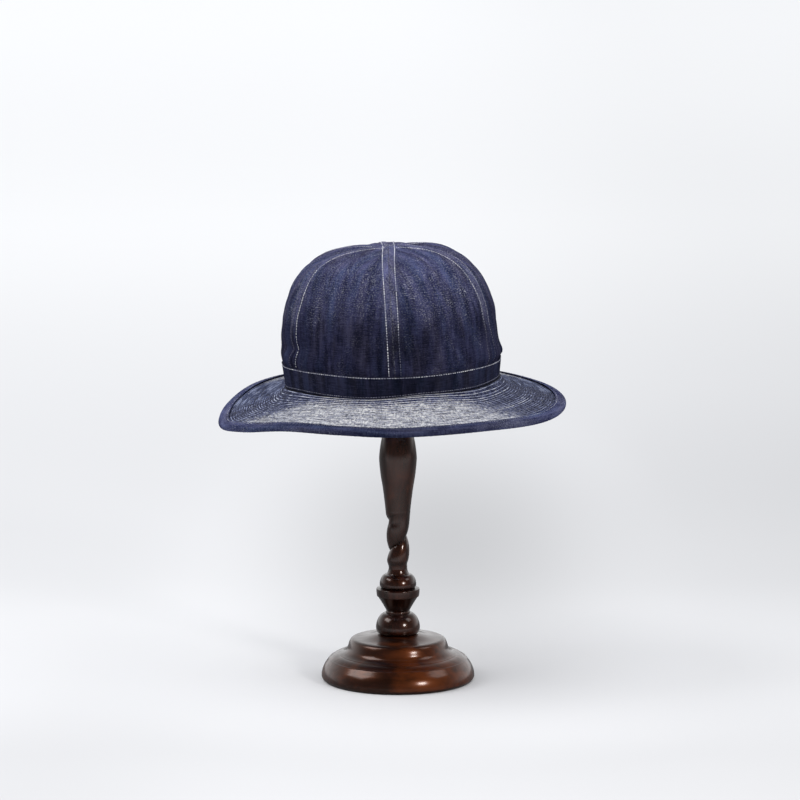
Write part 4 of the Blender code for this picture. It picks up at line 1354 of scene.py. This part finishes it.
def make_base(material):
    side = np.array(BASE_SIDE) / 1000
    index = np.arange(len(side))
    at = np.linspace(0, len(side) - 1, 4 * (len(side) - 1) + 1)
    radii, heights = curve_through(index, side[:, 0], at), curve_through(index, side[:, 1], at)
    profile = [(0.0, BASE_HEIGHT)]
    for share in np.linspace(0.0, 0.92, 12):
        sag = 0.16 * (BASE_HEIGHT - TIER_HEIGHT) * math.sin(math.pi * share)
        profile.append((mix(SEAT_RADIUS, side[0, 0], share), mix(BASE_HEIGHT, side[0, 1], share) - sag))
    profile += zip(radii.tolist(), heights.tolist())
    profile += [(BASE_RADIUS - inwards, height) for inwards, height in BASE_FOOT] + [(0.0, 0.0)]
    base = turned("stand_base_turned", profile, material)
    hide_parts("stand_base")


def knop_profile():
    radius, height = KNOP_FOOT * KNOP_RADIUS, 0.0
    profile = [(radius, height)]
    for _, rise, top, swell, roundness, rows in KNOP_STEPS:
        top_radius, top_height = top * KNOP_RADIUS, height + rise * KNOP_HEIGHT
        for i in range(1, rows + 1):
            along = 0.5 - 0.5 * math.cos(math.pi * (i / rows))
            swelling = swell * KNOP_RADIUS * (1 - (2 * along - 1) ** 2) ** roundness
            profile.append((mix(radius, top_radius, along) + swelling, mix(height, top_height, along)))
        radius, height = top_radius, top_height
    return profile


def twist_radius(height, azimuth, foot_radius):
    run_in = smoothstep(height / TWIST_RUN_IN)
    run_out = smoothstep((TWIST_HEIGHT - height) / TWIST_RUN_OUT)
    crest = mix(foot_radius, TWIST_RADIUS, run_in)
    crest = mix(VASE_FOOT * VASE_RADIUS, crest, run_out)
    turn = azimuth - GROOVE_START - 2 * math.pi * height / TWIST_PITCH
    fall = 1 - np.abs(np.sin(turn / 2)) ** GROOVE_ROUNDNESS
    return crest - GROOVE_DEPTH * fall * run_in * run_out


def make_column(material):
    """The knop, the twist, the vase and the post, as rings from the foot up."""
    azimuth = np.arange(COLUMN_SIDES) * 2 * math.pi / COLUMN_SIDES
    foot = BASE_HEIGHT + GAP
    rings = [(foot + height, radius) for radius, height in knop_profile()]
    knop_top, knop_radius = rings[-1]
    for height in np.linspace(0, TWIST_HEIGHT, TWIST_ROWS + 1)[1:-1]:
        rings.append((knop_top + height, twist_radius(height, azimuth, knop_radius)))
    shares = np.linspace(0, 1, VASE_ROWS)
    vase = curve_through(*zip(*VASE_PROFILE), shares)
    vase_foot = knop_top + TWIST_HEIGHT
    rings += [(vase_foot + share * VASE_HEIGHT, r * VASE_RADIUS) for share, r in zip(shares, vase)]
    rings.append((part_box("stand_column")[1].z, POST_RADIUS))
    radii = np.stack([np.broadcast_to(radius, COLUMN_SIDES) for _, radius in rings])
    heights = np.array([height for height, _ in rings])
    x, y = radii * np.sin(azimuth), -radii * np.cos(azimuth)
    points = np.stack([x, y, np.broadcast_to(heights[:, None], x.shape)], axis=-1).reshape(-1, 3)
    _, _, quads = grid(len(rings) - 1, COLUMN_SIDES, len(rings))
    around = np.arange(COLUMN_SIDES)
    ends = np.stack([around[::-1], around + (len(rings) - 1) * COLUMN_SIDES])
    column = make_piece("stand_column_turned", points, [quads, ends], [material])
    column.data.set_sharp_from_angle(angle=math.radians(36))
    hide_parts("stand_column")


def make_head(material):
    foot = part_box("stand_head")[0].z
    edge = foot + HEAD_EDGE_HEIGHT
    dome = arc((0.0, edge), (HEAD_RADIUS, HEAD_HEIGHT - HEAD_EDGE_HEIGHT), 90, 0, 24)
    socket = POST_RADIUS + GAP
    rim = socket + HEAD_SOCKET_RIM
    underside = arc((rim, edge), (HEAD_RADIUS - rim, HEAD_EDGE_HEIGHT), 0, -90, 20)
    roof = foot + HEAD_SOCKET_DEPTH + GAP
    profile = [*dome, *underside[1:], (socket, foot), (socket, roof), (0.0, roof)]
    head = turned("stand_head_turned", profile, material)
    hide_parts("stand_head")


# Studio


def make_camera():
    data = bpy.data.cameras.new("camera")
    camera = added("camera", data)
    camera.location = CAMERA_PLACE
    camera.rotation_euler = (math.radians(90 - CAMERA_DOWN), 0, 0)
    data.sensor_width = SENSOR_WIDTH
    data.lens = SENSOR_WIDTH / 2 / math.tan(math.radians(CAMERA_VIEW / 2))
    data.clip_end = 60
    bpy.context.scene.camera = camera


def make_floor():
    mesh = bpy.data.meshes.new("floor")
    corners = ((-1, -1), (1, -1), (1, 1), (-1, 1))
    mesh.from_pydata([(x * FLOOR_REACH, y * FLOOR_REACH, 0) for x, y in corners], [], [(0, 1, 2, 3)])
    mesh.materials.append(floor_material())
    floor = added("floor", mesh)


def make_softbox(name, azimuth, elevation, distance, width, height, radiance, colour):
    """A soft light that faces the stand from an azimuth right of the camera."""
    data = bpy.data.lights.new(name, "AREA")
    data.shape = "RECTANGLE"
    data.size, data.size_y = width, height
    data.energy = radiance * math.pi * width * height
    data.color = colour
    light = added(name, data)
    a, e = math.radians(azimuth), math.radians(elevation)
    way = Vector((math.sin(a) * math.cos(e), -math.cos(a) * math.cos(e), math.sin(e)))
    light.location = way * distance + Vector((0, 0, 0.15))
    light.rotation_euler = (-way).to_track_quat("-Z", "Y").to_euler()


def make_world():
    """An even sky, brightest overhead. The camera sees it in the floor's own pale tone, and gloss
    reflects a room that is dark above and in front, with the pale sweep behind."""
    world = bpy.data.worlds.new("studio")
    bpy.context.scene.world = world
    world.use_nodes = True
    sky = Nodes(world.node_tree)
    _, y, z = sky.split(sky.output("ShaderNodeTexCoord", {}, "Generated"))
    light = sky.math("MULTIPLY_ADD", sky.times(z, z), SKY_ZENITH - SKY_HORIZON, SKY_HORIZON)
    room = sky.times(sky.between(y, -0.25, 0.65, 0.14, 1.0), sky.between(z, 0.10, 0.75, 1.0, 0.30))
    for ray, seen in (("Is Glossy Ray", room), ("Is Camera Ray", SKY_SEEN)):
        light = sky.output("ShaderNodeMix", {0: sky.ray(ray), 2: light, 3: seen}, data_type="FLOAT")
    sky.fill(world.node_tree.nodes["Background"], {"Color": SKY_COLOUR, "Strength": light})


def main():
    make_camera()
    make_floor()
    make_world()
    for light in LIGHTS:
        make_softbox(*light)
    bpy.context.scene.view_settings.view_transform = "Standard"

    cloth, inside = denim("crown_denim", CROWN_BLUES), denim("crown_denim_inside", INSIDE_BLUES)
    band_cloth = denim("band_denim", BAND_BLUES, BAND_FLECKS)
    tape = denim("binding_denim_tape", TAPE_BLUES)
    brim_cloth = brim_denim("brim_denim")
    white, brim_thread = thread("seam_thread", SEAM_THREAD), thread("brim_thread", BRIM_THREAD)

    for index in range(len(PANELS)):
        make_panel(index, cloth, inside)
    stitches("crown_stitches", crown_rows(), white, 6, 4)
    make_band(band_cloth)
    stitches("band_stitches", band_rows(), white, 6, 4)
    top = make_brim_layer("brim_cloth_top", brim_cloth, 0)
    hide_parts("brim")
    make_brim_layer("brim_cloth_under", brim_cloth, 1)
    stitches("brim_stitches_top", brim_rows(0), brim_thread, size=BRIM_STITCH)
    stitches("brim_stitches_under", brim_rows(1), brim_thread, size=BRIM_STITCH)
    make_binding(tape)
    stitches("binding_stitches", binding_rows(), white, 5, 3)

    make_base(wood("base_wood", **BASE_WOOD))
    column_wood = wood("column_wood", **COLUMN_WOOD)
    make_column(column_wood)
    make_head(column_wood)


main()
